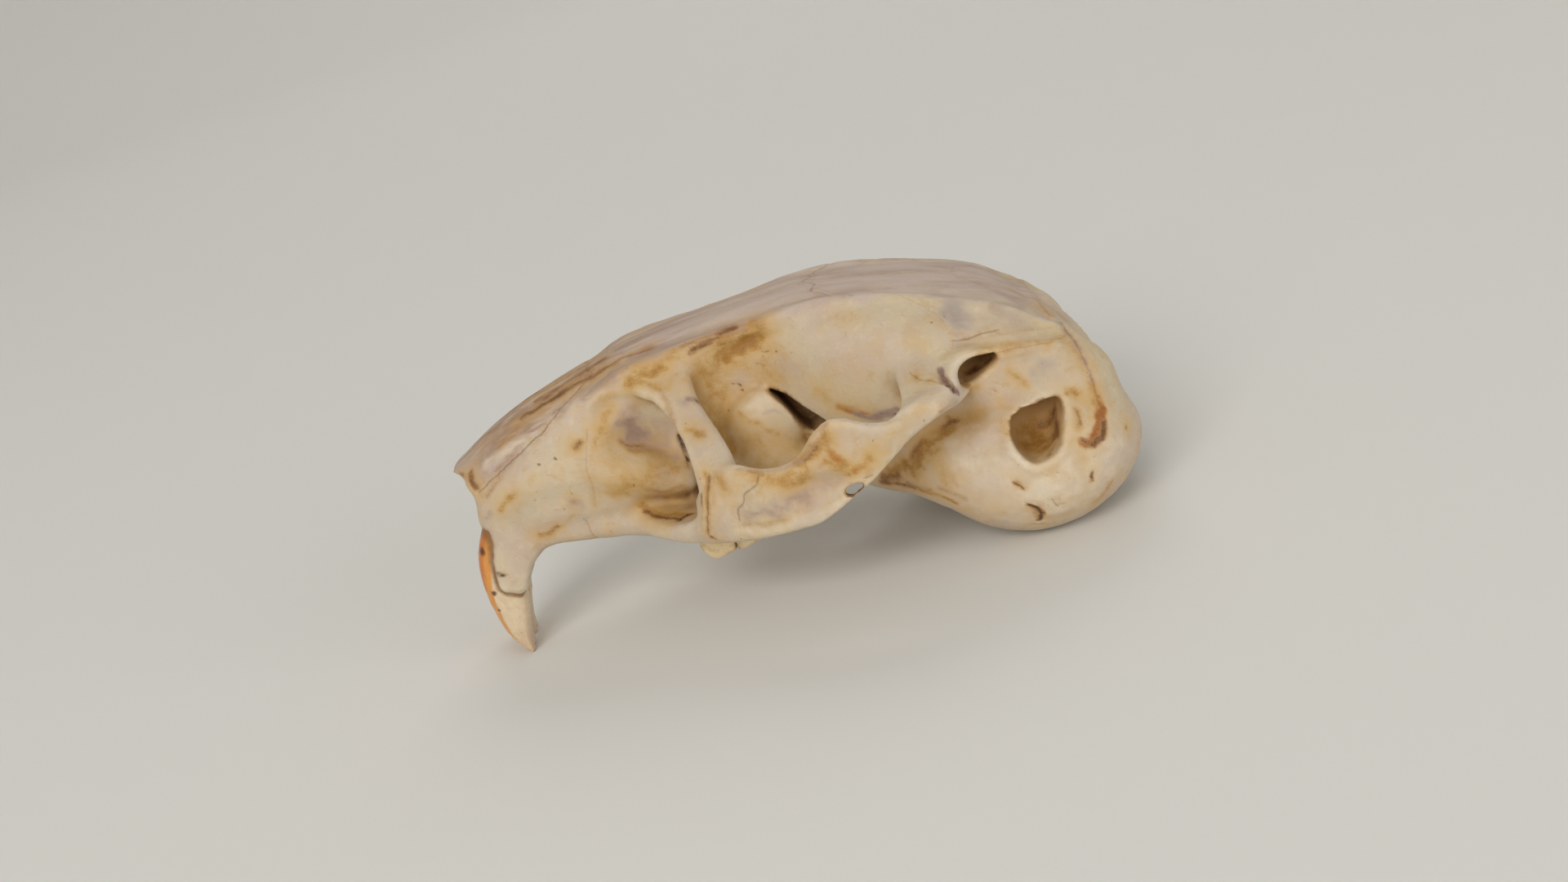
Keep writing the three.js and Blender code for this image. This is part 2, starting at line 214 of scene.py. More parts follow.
def bar(rows, up=(0, 0, 1), squareness=2.5, spacing=0.6):
    """A flat bar along a smooth path: x, y, z, half height along the way up, half thickness across it."""
    rows = even_rows(rows, spacing)
    paths = np.gradient(rows[:, :3], axis=0)
    paths /= np.linalg.norm(paths, axis=1)[:, None]
    sides = np.cross(paths, up)
    sides /= np.linalg.norm(sides, axis=1)[:, None]
    ups = np.cross(sides, paths)

    def distance(x, y, z):
        nearest = result = None
        for k in range(len(rows) - 1):
            start, end = rows[k], rows[k + 1]
            way = end[:3] - start[:3]
            offset = (x - start[0], y - start[1], z - start[2])
            t = np.clip(sum(offset[i] * way[i] for i in range(3)) / (way @ way), 0, 1)
            away = [offset[i] - t * way[i] for i in range(3)]
            square = sum(part**2 for part in away)
            side = [sides[k, i] + t * (sides[k + 1, i] - sides[k, i]) for i in range(3)]
            rise = [ups[k, i] + t * (ups[k + 1, i] - ups[k, i]) for i in range(3)]
            sideways = sum(away[i] * side[i] for i in range(3))
            upwards = sum(away[i] * rise[i] for i in range(3))
            half = start[4] + t * (end[4] - start[4])
            height = start[3] + t * (end[3] - start[3])
            section = section_distance(sideways, upwards, half, height, squareness)
            beyond = np.maximum(square - sideways**2 - upwards**2, 0)
            past_end = np.sqrt(np.maximum(section, 0) ** 2 + beyond) + np.minimum(section, 0)
            section = np.where(beyond > 1e-6, past_end, section)
            if result is None:
                nearest, result = square, section
            else:
                closer = square < nearest
                result = np.where(closer, section, result)
                nearest = np.where(closer, square, nearest)
        return result

    reach = np.maximum(rows[:, 3:4], rows[:, 4:5])
    return Form(distance, (rows[:, :3] - reach).min(axis=0), (rows[:, :3] + reach).max(axis=0))


PLATE_AXES = {"x": (0, 1, 2), "y": (1, 2, 0), "z": (2, 1, 0)}


def plate(rows, along="x", taper=0.25, ends=True):
    """A thin bent plate with round edges.

    Its rows are: place along it, its middle, upper edge, lower edge, half thickness.
    It runs along x with its edges up and down, or along y or z with its edges to the rear and the front.
    """
    rows = np.asarray(rows, float)
    run, across, edge = PLATE_AXES[along]
    middle, upper, lower, half = [smooth_curve(rows[:, 0], column) for column in rows.T[1:]]

    def distance(x, y, z):
        point = (x, y, z)
        s = point[run]
        slope = (middle(s + 0.05) - middle(s - 0.05)) / 0.1
        sideways = (point[across] - middle(s)) / np.sqrt(1 + slope**2)
        height = 0.5 * (upper(s) - lower(s))
        upwards = point[edge] - 0.5 * (upper(s) + lower(s))
        thick = half(s) * (1 - taper * np.clip(upwards / height, -1, 1) ** 2)
        over = np.maximum(np.abs(upwards) - (height - half(s) * (1 - taper)), 0)
        away = np.sqrt(sideways**2 + over**2) - thick
        if ends:
            away = np.maximum(away, np.maximum(rows[0, 0] - s, s - rows[-1, 0]))
        return away

    low, high = np.zeros(3), np.zeros(3)
    low[run], high[run] = rows[0, 0], rows[-1, 0]
    thickest = rows[:, 4].max()
    low[across], high[across] = rows[:, 1].min() - thickest, rows[:, 1].max() + thickest
    low[edge], high[edge] = rows[:, 3].min(), rows[:, 2].max()
    return Form(distance, low, high)


def prism(outline, run, start, end, lean=0.0):
    """A straight-sided body with any outline, along one axis: run is 1 for y and 2 for z.

    The outline gives the other two coordinates of its corners. With a lean it slides along the second one.
    """
    outline = np.asarray(outline, float)
    first, second = [axis for axis in range(3) if axis != run]

    def distance(x, y, z):
        point = (x, y, z)
        u, v = point[first], point[second] + lean * (point[run] - start)
        nearest, inside = None, False
        for (u0, v0), (u1, v1) in zip(outline, np.roll(outline, -1, axis=0)):
            du, dv = u1 - u0, v1 - v0
            t = np.clip(((u - u0) * du + (v - v0) * dv) / (du**2 + dv**2), 0, 1)
            away = (u - u0 - t * du) ** 2 + (v - v0 - t * dv) ** 2
            nearest = away if nearest is None else np.minimum(nearest, away)
            passes = (v0 > v) != (v1 > v)
            inside = inside ^ (passes & (u < u0 + (v - v0) * du / (dv + 1e-9)))
        away = np.sqrt(nearest) * np.where(inside, -1, 1)
        return np.maximum(away, np.maximum(start - point[run], point[run] - end))

    low, high = np.zeros(3), np.zeros(3)
    low[[first, second]], high[[first, second]] = outline.min(axis=0), outline.max(axis=0)
    low[second] -= max(lean, 0) * (end - start)
    low[run], high[run] = start, end
    return Form(distance, low, high)


def overlap(first, second, blend=0.6):
    """Only what two forms share, with the edges between them rounded."""
    return Form(lambda x, y, z: common(first.distance(x, y, z), second.distance(x, y, z), blend),
                np.maximum(first.low, second.low), np.minimum(first.high, second.high))


# %% Clay: a block of distances on the left side, mirrored when it is meshed
FAR = 4.0
ADDED_REACH = 2.0
CUT_REACH = 1.0


class Clay:
    """Distances at the corners of small cells. Forms are added to them or cut out of them."""

    def __init__(self, low, high, step):
        self.step = step
        counts = [int(np.ceil((high[k] - low[k]) / step)) + 1 for k in range(3)]
        self.axes = [low[0] + step * np.arange(counts[0]), -step * np.arange(counts[1])[::-1],
                     low[2] + step * np.arange(counts[2])]
        self.field = np.full([len(axis) for axis in self.axes], FAR, np.float32)

    def part(self, form, margin):
        """The cells near a form, and the form's distances there."""
        cells = []
        for axis, low, high in zip(self.axes, form.low - margin, form.high + margin):
            cells.append(slice(np.searchsorted(axis, low), np.searchsorted(axis, high)))
        x, y, z = [axis[cell].astype(np.float32) for axis, cell in zip(self.axes, cells)]
        return tuple(cells), form.distance(x[:, None, None], y[None, :, None], z[None, None, :])

    def add(self, form, blend=0.5):
        cells, distance = self.part(form, ADDED_REACH + blend)
        self.field[cells] = joined(self.field[cells], distance, blend)

    def cut(self, form, blend=0.3):
        cells, distance = self.part(form, CUT_REACH + blend)
        self.field[cells] = common(self.field[cells], -distance, blend)

    def whole(self):
        """The distances on both sides."""
        return np.concatenate([self.field, self.field[:, -2::-1, :]], axis=1)

    def faces(self, both=True):
        """Points and four-cornered faces of the surface, in millimetres."""
        values = self.whole() if both else self.field
        grid = openvdb.FloatGrid(FAR)
        grid.copyFromArray(np.ascontiguousarray(values, np.float32))
        points, _, quads = grid.convertToPolygons(0.0, 0.0)
        corner = [axis[0] for axis in self.axes]
        return np.asarray(points, float) * self.step + corner, np.asarray(quads, int)


# %% [markdown]
# ## The cranium's main forms
# A rodent's skull is a snout, a capsule for the brain, a blown-up bubble round each ear and two cheek arches.
# The snout and the braincase are hulls across both sides; everything else is made on the left and mirrored.
# The stations are close to the ones that the part's solids use, so the sculpted bone fills the same space.
# Every form in these cells is written out by its own rows, because no two bones of a skull are alike.

# %% Hulls: x, top, bottom, half width, height of the widest place, squareness above and below it
SNOUT = [
    (-19.4, 13.4, 13.05, 0.9, 13.2, 2.0, 2.0),
    (-18.95, 13.68, 12.95, 1.6, 13.3, 2.1, 2.0),
    (-18.6, 13.85, 12.35, 2.3, 13.0, 2.3, 2.2),
    (-18.35, 13.98, 10.2, 2.7, 12.1, 2.4, 2.4),
    (-17.0, 14.7, 7.9, 3.6, 11.4, 2.5, 2.4),
    (-15.0, 15.6, 7.4, 4.3, 11.0, 2.6, 2.5),
    (-12.0, 16.6, 7.1, 4.8, 11.2, 2.6, 2.5),
    (-9.0, 17.4, 6.5, 4.9, 11.8, 2.6, 2.5),
    (-6.0, 18.0, 5.9, 4.7, 12.5, 2.6, 2.5),
    (-3.0, 18.35, 5.5, 4.2, 13.5, 2.9, 2.4),
    (0.0, 18.5, 5.8, 3.95, 14.5, 3.3, 2.4),
    (3.0, 18.6, 6.6, 4.1, 14.5, 3.5, 2.3),
    (6.0, 18.5, 7.5, 4.6, 14.0, 3.2, 2.3),
    (9.5, 17.4, 9.0, 4.0, 13.5, 2.6, 2.3),
]
BRAINCASE = [
    (0.5, 16.6, 10.5, 1.8, 14.5, 2.4, 2.3),
    (3.5, 18.1, 8.6, 4.7, 14.0, 2.8, 2.3),
    (6.5, 18.5, 7.4, 6.8, 13.0, 2.8, 2.3),
    (9.5, 18.1, 6.6, 8.1, 12.4, 2.8, 2.3),
    (12.5, 17.4, 5.8, 8.7, 12.0, 2.8, 2.3),
    (15.5, 16.5, 5.0, 9.1, 11.0, 2.8, 2.3),
    (18.5, 15.3, 4.2, 9.2, 9.8, 2.9, 2.3),
    (20.8, 13.35, 3.4, 8.9, 8.6, 3.0, 2.3),
    (22.4, 11.6, 2.8, 8.1, 7.2, 2.7, 2.3),
    (23.6, 9.8, 2.6, 6.6, 6.2, 2.5, 2.2),
    (24.3, 8.5, 2.8, 5.2, 5.4, 2.3, 2.1),
    (24.75, 7.4, 3.4, 3.6, 5.2, 2.1, 2.0),
    (24.95, 6.2, 4.2, 1.8, 5.2, 2.0, 2.0),
]

# %% Round rods: x, y, z, radius
EAR_CAPSULE = [
    (6.6, -2.6, 6.2, 1.1), (8.6, -4.0, 6.0, 1.7), (10.8, -5.2, 6.2, 2.5), (13.8, -6.4, 5.85, 3.75),
    (17.2, -7.3, 4.92, 4.9), (19.6, -7.35, 5.0, 4.65), (21.3, -6.9, 5.0, 3.7), (22.6, -6.7, 5.2, 2.4),
]
INCISOR_CAPSULE = [
    (-17.3, -1.7, 8.6, 1.4), (-16.8, -2.0, 10.2, 1.8), (-14.6, -2.9, 12.0, 2.0), (-11.0, -3.4, 12.2, 1.9),
    (-8.0, -3.9, 11.0, 1.6), (-5.0, -4.0, 9.4, 1.4),
]
DIASTEMA_RIDGE = [
    (-16.4, -1.9, 8.3, 1.2), (-13.6, -2.6, 8.0, 1.1), (-10.4, -3.0, 7.6, 1.1), (-7.8, -3.2, 7.2, 1.1),
    (-5.2, -3.2, 6.9, 1.2),
]
BROW = [
    (-11.0, -3.5, 15.5, 0.3), (-8.4, -3.8, 16.5, 0.4), (-6.5, -4.0, 17.1, 0.5), (-3.0, -4.0, 17.45, 0.5),
    (0.0, -3.8, 17.6, 0.5), (3.0, -3.9, 17.7, 0.5), (6.0, -4.4, 17.8, 0.5), (9.0, -4.8, 17.6, 0.45),
    (12.0, -5.2, 16.95, 0.4), (15.0, -5.8, 15.9, 0.4), (18.0, -6.4, 14.6, 0.4), (20.9, -6.8, 12.7, 0.4),
]
FOREHEAD_EDGE = [(-8.0, -3.3, 15.6, 0.7), (-4.6, -3.4, 16.3, 1.0), (-1.0, -3.2, 16.6, 1.0)]
HOLLOW_RIM = [
    (-9.5, -4.4, 14.6, 0.1), (-9.2, -4.1, 15.7, 0.15), (-8.3, -4.15, 16.3, 0.18), (-7.2, -4.25, 16.4, 0.2),
    (-6.2, -4.5, 16.2, 0.2), (-5.3, -5.0, 15.7, 0.2),
]
UNDER_THE_RIM = [
    (-8.3, -4.85, 15.35, 0.45), (-7.5, -4.9, 15.55, 0.5), (-6.5, -4.95, 15.4, 0.5), (-5.7, -4.9, 14.7, 0.5),
]
PALATE_NOTCH = [(2.4, 0, 7.2, 0.9), (5.0, 0, 7.0, 1.4), (8.2, 0, 6.2, 1.6)]

# %% Flat bars: x, y, z, half height, half thickness
TOOTH_BONE = [
    (-5.9, -3.1, 6.6, 1.2, 1.3), (-4.2, -3.5, 5.9, 1.5, 1.75), (-1.5, -3.75, 6.2, 1.9, 1.8),
    (1.0, -4.0, 7.0, 1.9, 1.65), (3.4, -4.1, 8.2, 1.6, 1.3),
]
PTERYGOID_PLATE = [
    (2.6, -2.3, 6.9, 1.2, 0.5), (5.0, -2.3, 6.5, 1.5, 0.4), (7.0, -2.8, 6.4, 1.3, 0.45),
    (8.8, -3.4, 6.4, 1.0, 0.5),
]
INCISOR_SOCKET = [
    (-14.3, -1.8, 9.6, 2.0, 1.9), (-16.3, -1.75, 8.2, 2.0, 1.9), (-17.2, -1.75, 6.9, 1.6, 1.85),
    (-17.55, -1.75, 5.95, 1.3, 1.82), (-17.82, -1.75, 5.05, 1.08, 1.78),
]

# %% Plates: place along them, middle, upper or rear edge, lower or front edge, half thickness
CHEEK_ARCH = [
    (-4.1, -9.6, 9.2, 6.5, 0.9), (-3.2, -10.3, 10.6, 6.5, 0.92), (-2.2, -11.0, 11.4, 6.5, 0.9),
    (-0.9, -11.75, 11.6, 6.55, 0.82), (0.3, -12.4, 11.2, 6.65, 0.75), (1.9, -13.0, 11.05, 6.8, 0.68),
    (3.0, -13.35, 11.5, 6.9, 0.64), (4.2, -13.65, 12.75, 7.35, 0.58), (5.2, -13.88, 13.3, 7.9, 0.54),
    (6.1, -13.95, 13.2, 8.35, 0.52), (7.4, -13.9, 12.45, 9.05, 0.5), (8.4, -13.65, 12.05, 9.7, 0.5),
    (9.6, -13.3, 11.95, 10.4, 0.5), (10.8, -12.9, 12.3, 10.85, 0.5), (12.2, -12.1, 12.2, 11.15, 0.5),
    (13.6, -10.8, 11.9, 11.0, 0.5), (14.7, -8.9, 11.8, 11.1, 0.5),
]
FRONT_BAR = [
    (7.6, -10.2, -1.6, -4.3, 0.8), (8.9, -10.9, -1.3, -3.85, 0.75), (10.4, -10.9, -0.9, -3.6, 0.65),
    (11.6, -10.1, -0.95, -3.55, 0.6), (12.4, -9.0, -1.2, -3.62, 0.55), (13.4, -7.6, -1.6, -3.85, 0.55),
    (14.3, -6.4, -2.0, -4.2, 0.65), (15.3, -5.1, -2.2, -4.9, 0.75), (16.3, -4.0, -2.0, -5.9, 0.8),
    (17.1, -3.2, -1.6, -7.0, 0.7),
]
LOWER_ROOT = [
    (-10.4, 7.7, -2.2, -4.4, 0.95), (-9.0, 7.2, -3.0, -5.6, 0.8), (-7.5, 7.0, -3.6, -6.6, 0.7),
    (-5.8, 6.95, -3.8, -7.6, 0.75), (-4.0, 7.1, -3.8, -8.6, 0.9), (-2.5, 7.5, -3.8, -9.0, 1.1),
]
REAR_SHELF = [
    (-13.2, 11.8, 12.0, 9.6, 0.4), (-12.2, 12.0, 13.2, 9.9, 0.5), (-10.6, 12.45, 14.0, 10.2, 0.55),
    (-9.0, 13.0, 14.4, 10.3, 0.7), (-7.0, 13.8, 14.8, 10.3, 0.9),
]

# %% Eggs: centre, half sizes
MASTOID = egg((20.3, -7.0, 8.3), (3.9, 3.3, 4.0))
TOOTH_ROOT_DOME = egg((1.5, -3.6, 11.0), (2.7, 1.8, 2.7))
TOOTH_ROOT_FOOT = egg((0.6, -4.6, 8.6), (2.6, 1.5, 1.8))
SNOUT_HOLLOW = egg((-6.1, -8.4, 12.5), (3.9, 4.8, 4.1))
UPPER_SNOUT_HOLLOW = egg((-7.2, -7.7, 13.5), (2.9, 3.35, 2.3))
EYE_SOCKET = egg((0.2, -9.2, 14.0), (4.3, 5.3, 3.3))
ARCH_DISH = egg((1.9, -14.9, 9.0), (4.2, 1.5, 1.5), turn=-8)

# %% Block out the skull: each form with the width of its blend
SCULPT_STEP = 0.23
X_AXIS = (1, 0, 0)

clay = Clay((-21.0, -16.0, -1.0), (27.0, 0.0, 20.5), SCULPT_STEP)
clay.add(hull(SNOUT), 0)
clay.add(hull(BRAINCASE), 0.8)
clay.add(rod(BROW), 0.8)
clay.add(rod(EAR_CAPSULE), 0.6)
clay.add(MASTOID, 1.0)
clay.add(rod(DIASTEMA_RIDGE), 0.6)
clay.add(bar(TOOTH_BONE), 0.7)
clay.cut(SNOUT_HOLLOW, 0.5)
clay.cut(EYE_SOCKET, 1.2)
clay.add(TOOTH_ROOT_DOME, 0.4)
clay.add(TOOTH_ROOT_FOOT, 0.6)
clay.add(rod(INCISOR_CAPSULE), 0.6)
clay.add(bar(INCISOR_SOCKET, up=X_AXIS, squareness=4.0), 0.5)
clay.cut(UPPER_SNOUT_HOLLOW, 0.35)
clay.add(rod(HOLLOW_RIM), 0.6)
clay.cut(rod(UNDER_THE_RIM), 0.5)
clay.cut(rod(PALATE_NOTCH), 0.4)
clay.add(plate(LOWER_ROOT, "y"), 0.9)
clay.add(plate(CHEEK_ARCH), 0.4)
clay.cut(ARCH_DISH, 0.3)
clay.add(plate(FRONT_BAR, "z"), 0.7)
clay.add(rod(FOREHEAD_EDGE), 0.8)
clay.add(plate(REAR_SHELF, "y"), 0.9)
clay.add(bar(PTERYGOID_PLATE), 0.3)
print("clay:", clay.field.shape, "cells of", SCULPT_STEP, "mm")

# %% [markdown]
# ## Ridges, joints and openings
# Thin crests mark where the chewing and neck muscles held on. They are rods that barely stand out of the
# bone. The openings come after them. One that has an outline of its own is a straight cut inside it, and for
# the ear and the window above it an egg keeps the cut from going too deep.

# %% Crests and joints with the neck
EAR_RIDGE = [
    (13.2, -9.9, 12.3, 0.5), (14.2, -9.5, 13.2, 0.5), (16.7, -9.0, 12.8, 0.4), (18.9, -8.8, 12.4, 0.35),
    (20.6, -8.4, 12.0, 0.3),
]
NECK_CREST = [
    (20.9, 0.3, 13.1, 0.4), (21.0, -3.0, 12.95, 0.4), (21.5, -5.8, 12.4, 0.4), (21.9, -7.4, 11.5, 0.4),
    (22.1, -8.7, 10.4, 0.4), (22.2, -9.2, 9.2, 0.4), (22.2, -9.5, 8.0, 0.4), (21.9, -10.2, 6.9, 0.4),
    (21.3, -10.8, 6.1, 0.35), (20.5, -11.2, 6.1, 0.3),
]
CONDYLE = [
    (24.0, -1.7, 3.0, 0.75), (24.35, -2.5, 3.7, 0.9), (24.4, -2.85, 4.8, 0.9), (24.15, -2.75, 5.9, 0.65),
]
NECK_PROCESS = [(22.9, -5.3, 4.8, 1.1), (23.0, -5.7, 3.2, 0.7), (22.9, -5.8, 1.9, 0.45)]

clay.add(rod(EAR_RIDGE), 0.6)
clay.add(rod(NECK_CREST), 0.7)
clay.add(rod(CONDYLE, 0.3), 0.25)
clay.add(rod(NECK_PROCESS), 0.4)
print("crests: above the ear, across the back of the head")

# %% The ear, its ring and its canal
EAR_RING = [
    (15.8, -11.2, 7.5, 0.06), (16.1, -11.65, 6.6, 0.1), (16.6, -11.95, 5.95, 0.12), (17.3, -12.1, 5.7, 0.12),
    (18.2, -12.1, 5.85, 0.12), (18.9, -11.9, 6.35, 0.1), (19.5, -11.5, 7.15, 0.1), (20.0, -10.8, 8.2, 0.1),
    (20.1, -10.4, 9.1, 0.08),
]
EAR = [
    (16.5, 8.7), (17.2, 8.9), (18.1, 9.05), (19.0, 9.2), (19.7, 9.3), (19.9, 8.95), (19.8, 8.3), (19.4, 7.5),
    (19.0, 6.6), (18.5, 6.2), (17.9, 6.05), (17.4, 5.95), (17.0, 5.9), (16.55, 6.3), (16.25, 6.8),
    (16.1, 7.4),
    (16.2, 8.1),
]
EAR_CANAL = egg((18.5, -10.6, 7.4), (3.0, 3.2, 2.8))

clay.add(rod(EAR_RING, 0.35), 0.45)
clay.cut(overlap(prism(EAR, 1, -14.0, -6.0), EAR_CANAL, 1.0), 0.3)
print("ear:", len(EAR), "corners, drawn from the side")

# %% The window above the ear, its rim and the groove in front of it
WINDOW_RIM = [
    (16.4, -9.3, 13.1, 0.12), (15.5, -9.55, 13.3, 0.18), (14.5, -9.9, 13.3, 0.22), (13.8, -10.3, 13.0, 0.25),
    (13.5, -10.7, 12.4, 0.27), (13.6, -10.7, 11.75, 0.27), (14.0, -10.2, 11.3, 0.22),
]
WINDOW = [
    (13.8, 12.0), (13.95, 12.55), (14.35, 12.9), (14.9, 13.05), (15.6, 13.05), (16.35, 12.95), (16.9, 12.7),
    (16.65, 12.3), (16.1, 12.0), (15.6, 11.7), (15.0, 11.45), (14.4, 11.4),
]
WINDOW_DEPTH = egg((15.7, -9.2, 12.3), (2.6, 2.6, 1.6))
RIM_GROOVE = [
    (13.0, -10.0, 13.45, 0.2), (12.95, -10.75, 12.95, 0.28), (13.05, -11.45, 12.5, 0.3),
    (13.3, -11.85, 12.1, 0.2),
]

clay.add(rod(WINDOW_RIM), 0.35)
clay.cut(overlap(prism(WINDOW, 1, -13.0, -6.0), WINDOW_DEPTH), 0.15)
clay.cut(rod(RIM_GROOVE), 0.12)
print("window:", len(WINDOW), "corners")

# %% The chipped hole in the cheek arch, the fissure behind the eye and the hole for the spinal cord
ARCH_HOLE = [
    (5.05, 8.6), (5.3, 8.85), (5.7, 8.9), (6.0, 8.93), (6.4, 8.85), (6.25, 8.6), (5.9, 8.5), (5.6, 8.25),
    (5.25, 8.35),
]
EYE_FISSURE = [
    (2.35, 13.45), (2.85, 13.2), (3.4, 12.85), (3.9, 12.3), (4.5, 11.65), (5.05, 11.05), (5.5, 10.5),
    (5.1, 9.95), (4.5, 9.75), (4.05, 10.2), (3.7, 10.9), (3.35, 11.75), (2.95, 12.5), (2.55, 13.0),
]
NECK_HOLE = [(26.0, 0, 5.7, 2.1), (22.5, 0, 6.3, 2.0), (18.0, 0, 7.6, 1.6)]

clay.cut(prism(ARCH_HOLE, 1, -16.0, -12.0), 0.05)
clay.cut(prism(EYE_FISSURE, 1, -8.0, -1.6), 0.15)
clay.cut(rod(NECK_HOLE), 0.15)
print("fissure:", len(EYE_FISSURE), "corners")

# %% The nose, between the tips of its two bones and the roots of the incisors
NOSE_CORNER = egg((-18.25, -2.5, 12.6), (0.38, 0.4, 0.65))
NOSE_OPENING = [(-20.4, 0, 11.4, 1.5), (-18.3, 0, 11.65, 1.45), (-16.6, 0, 12.4, 1.1), (-13.0, 0, 13.2, 0.9)]
NOSE_FLOOR = [(-20.4, 0, 10.3, 0.8), (-18.2, 0, 10.6, 0.6), (-17.4, 0, 11.2, 0.4)]

clay.add(NOSE_CORNER, 0.15)
clay.cut(rod(NOSE_OPENING), 0.2)
clay.cut(rod(NOSE_FLOOR), 0.25)
print("nose:", NOSE_OPENING[-1][0] - NOSE_OPENING[0][0], "mm deep")

# %% The underside: slits and pores of the palate, holes beside the ear capsules, ridges of the base
PALATE_SLIT = [
    (-13.6, -0.45, 7.5, 0.2), (-12.3, -0.6, 7.5, 0.48), (-10.8, -0.6, 7.1, 0.48), (-9.4, -0.45, 6.9, 0.25),
]
PALATE_VAULT = [(-9.2, 0, 5.7, 0.45), (-5.5, 0, 5.1, 0.55), (-1.5, 0, 4.95, 0.65)]
PALATE_PORE = egg((-1.2, -1.5, 5.6), (0.55, 0.3, 0.9))
FRONT_EAR_HOLE = egg((8.4, -3.9, 5.0), (0.9, 0.42, 1.4), turn=20)
REAR_EAR_HOLE = egg((20.9, -3.9, 2.6), (1.1, 0.45, 1.0))
INNER_EAR_HOLE = egg((12.9, -3.1, 4.6), (0.8, 0.35, 0.9))
BASE_RIDGE = [(13.0, -1.0, 5.85, 0.4), (17.0, -1.3, 4.85, 0.45), (20.5, -1.6, 3.8, 0.4)]
BACK_RIDGE = [(21.8, 0, 12.6, 0.3), (23.2, 0, 10.6, 0.3), (24.1, 0, 9.0, 0.15)]

clay.cut(rod(PALATE_SLIT), 0.2)
clay.cut(rod(PALATE_VAULT), 0.5)
clay.cut(PALATE_PORE, 0.1)
clay.cut(FRONT_EAR_HOLE, 0.1)
clay.cut(REAR_EAR_HOLE, 0.15)
clay.cut(INNER_EAR_HOLE, 0.15)
clay.add(rod(BASE_RIDGE), 0.6)
clay.add(rod(BACK_RIDGE), 0.8)
print("bone so far:", int((clay.field < 0).sum()), "cells on the left side")

# %% [markdown]
# ## From clay to mesh
# The surface of the clay can have loose crumbs where two forms nearly meet, so only the largest connected
# shell is kept. The clay's cells also leave faint stair steps, which a few rounds of smoothing take out.

# %% Points and faces
SHRINK = 0.5
SWELL = 0.52


def largest_shell(count, faces):
    """True for the faces of the biggest connected part."""
    edges = np.concatenate([faces[:, [k, (k + 1) % 4]] for k in range(4)])
    label = np.arange(count)
    while True:
        low = np.minimum(label[edges[:, 0]], label[edges[:, 1]])
        new = label.copy()
        np.minimum.at(new, edges[:, 0], low)
        np.minimum.at(new, edges[:, 1], low)
        new = new[new]
        if (new == label).all():
            break
        label = new
    names, sizes = np.unique(label[faces[:, 0]], return_counts=True)
    return label[faces[:, 0]] == names[sizes.argmax()]


def used_points(points, faces):
    """The same faces with only the points that they use."""
    used, places = np.unique(faces, return_inverse=True)
    return points[used], places.reshape(faces.shape)


def volume(points, faces):
    a, b, c, d = [points[faces[:, k]] for k in range(4)]
    return (np.einsum("ij,ij->i", a, np.cross(b, c)) + np.einsum("ij,ij->i", a, np.cross(c, d))).sum() / 6


def outward(points, faces):
    """The faces turned so that their front looks outwards."""
    return faces if volume(points, faces) > 0 else faces[:, ::-1]


def neighbours(count, faces):
    """The edges of the faces and how many meet at each point."""
    edges = np.unique(np.sort(np.concatenate([faces[:, [k, (k + 1) % 4]] for k in range(4)]), axis=1), axis=0)
    return edges, np.maximum(np.bincount(edges.ravel(), minlength=count), 1)[:, None]


def average(values, edges, counts):
    """For each point, the mean of its neighbours' values."""
    total = np.zeros_like(values)
    np.add.at(total, edges[:, 0], values[edges[:, 1]])
    np.add.at(total, edges[:, 1], values[edges[:, 0]])
    return total / counts


def evened(points, faces, rounds):
    """The points without the stair steps of the clay's cells: each round shrinks a little and swells back."""
    edges, counts = neighbours(len(points), faces)
    for _ in range(rounds):
        for share in (SHRINK, -SWELL):
            points = points + share * (average(points, edges, counts) - points)
    return points


# %% Objects from them
def placed(name, data):
    """A new object in the scene that shows a mesh, a lamp or a camera."""
    made = bpy.data.objects.new(name, data)
    bpy.context.scene.collection.objects.link(made)
    return made


def mesh_object(name, points, faces):
    """A smooth-shaded object at the origin from points in millimetres on the skull."""
    mesh = bpy.data.meshes.new(name)
    mesh.from_pydata(to_frame(points).tolist(), [], faces.tolist())
    mesh.validate()
    mesh.shade_smooth()
    return placed(name, mesh)


def mark(mesh, name, values):
    """Keeps one number for each point, which the paint can read."""
    mesh.attributes.new(name, "FLOAT", "POINT").data.foreach_set("value", values.astype(np.float32))


# %% [markdown]
# ## Teeth from clay: the incisors
# A rodent's incisor is part of a circle with a hard enamel front and a softer back, so it wears to a chisel.
# It could be swept along an arc, but its chisel tip and the hollow behind it are easier to sculpt as the
# bone is. The same rule, made a little smaller, first cuts the socket: the bone then grips the tooth all
# round, and the two meet in one clean line.

# %% The incisor and its socket
INCISOR = [
    (-14.6, -1.62, 12.2, 1.1, 1.36), (-16.4, -1.62, 10.6, 1.15, 1.46), (-17.1, -1.62, 9.6, 1.18, 1.46),
    (-17.65, -1.62, 8.6, 1.22, 1.46), (-18.4, -1.62, 7.0, 1.25, 1.46), (-18.6, -1.62, 5.0, 1.25, 1.46),
    (-18.47, -1.62, 3.6, 1.3, 1.44), (-18.53, -1.6, 2.2, 0.98, 1.4), (-18.35, -1.57, 1.0, 0.55, 1.35),
    (-18.1, -1.57, 0.2, 0.17, 1.28),
]
ROOT_ROWS = 3
ROOT_WALL = 0.35
SOCKET_GRIP = 0.12
TIP_HOLLOW = egg((-16.6, -1.62, 2.4), (1.05, 1.15, 2.2))
TIP_HEIGHT = 0.03
INCISOR_STEP = 0.09


def grown(form, by):
    """The same form with its surface moved out, or in where the amount is below zero."""
    return Form(lambda x, y, z: form.distance(x, y, z) - by, form.low - by, form.high + by)


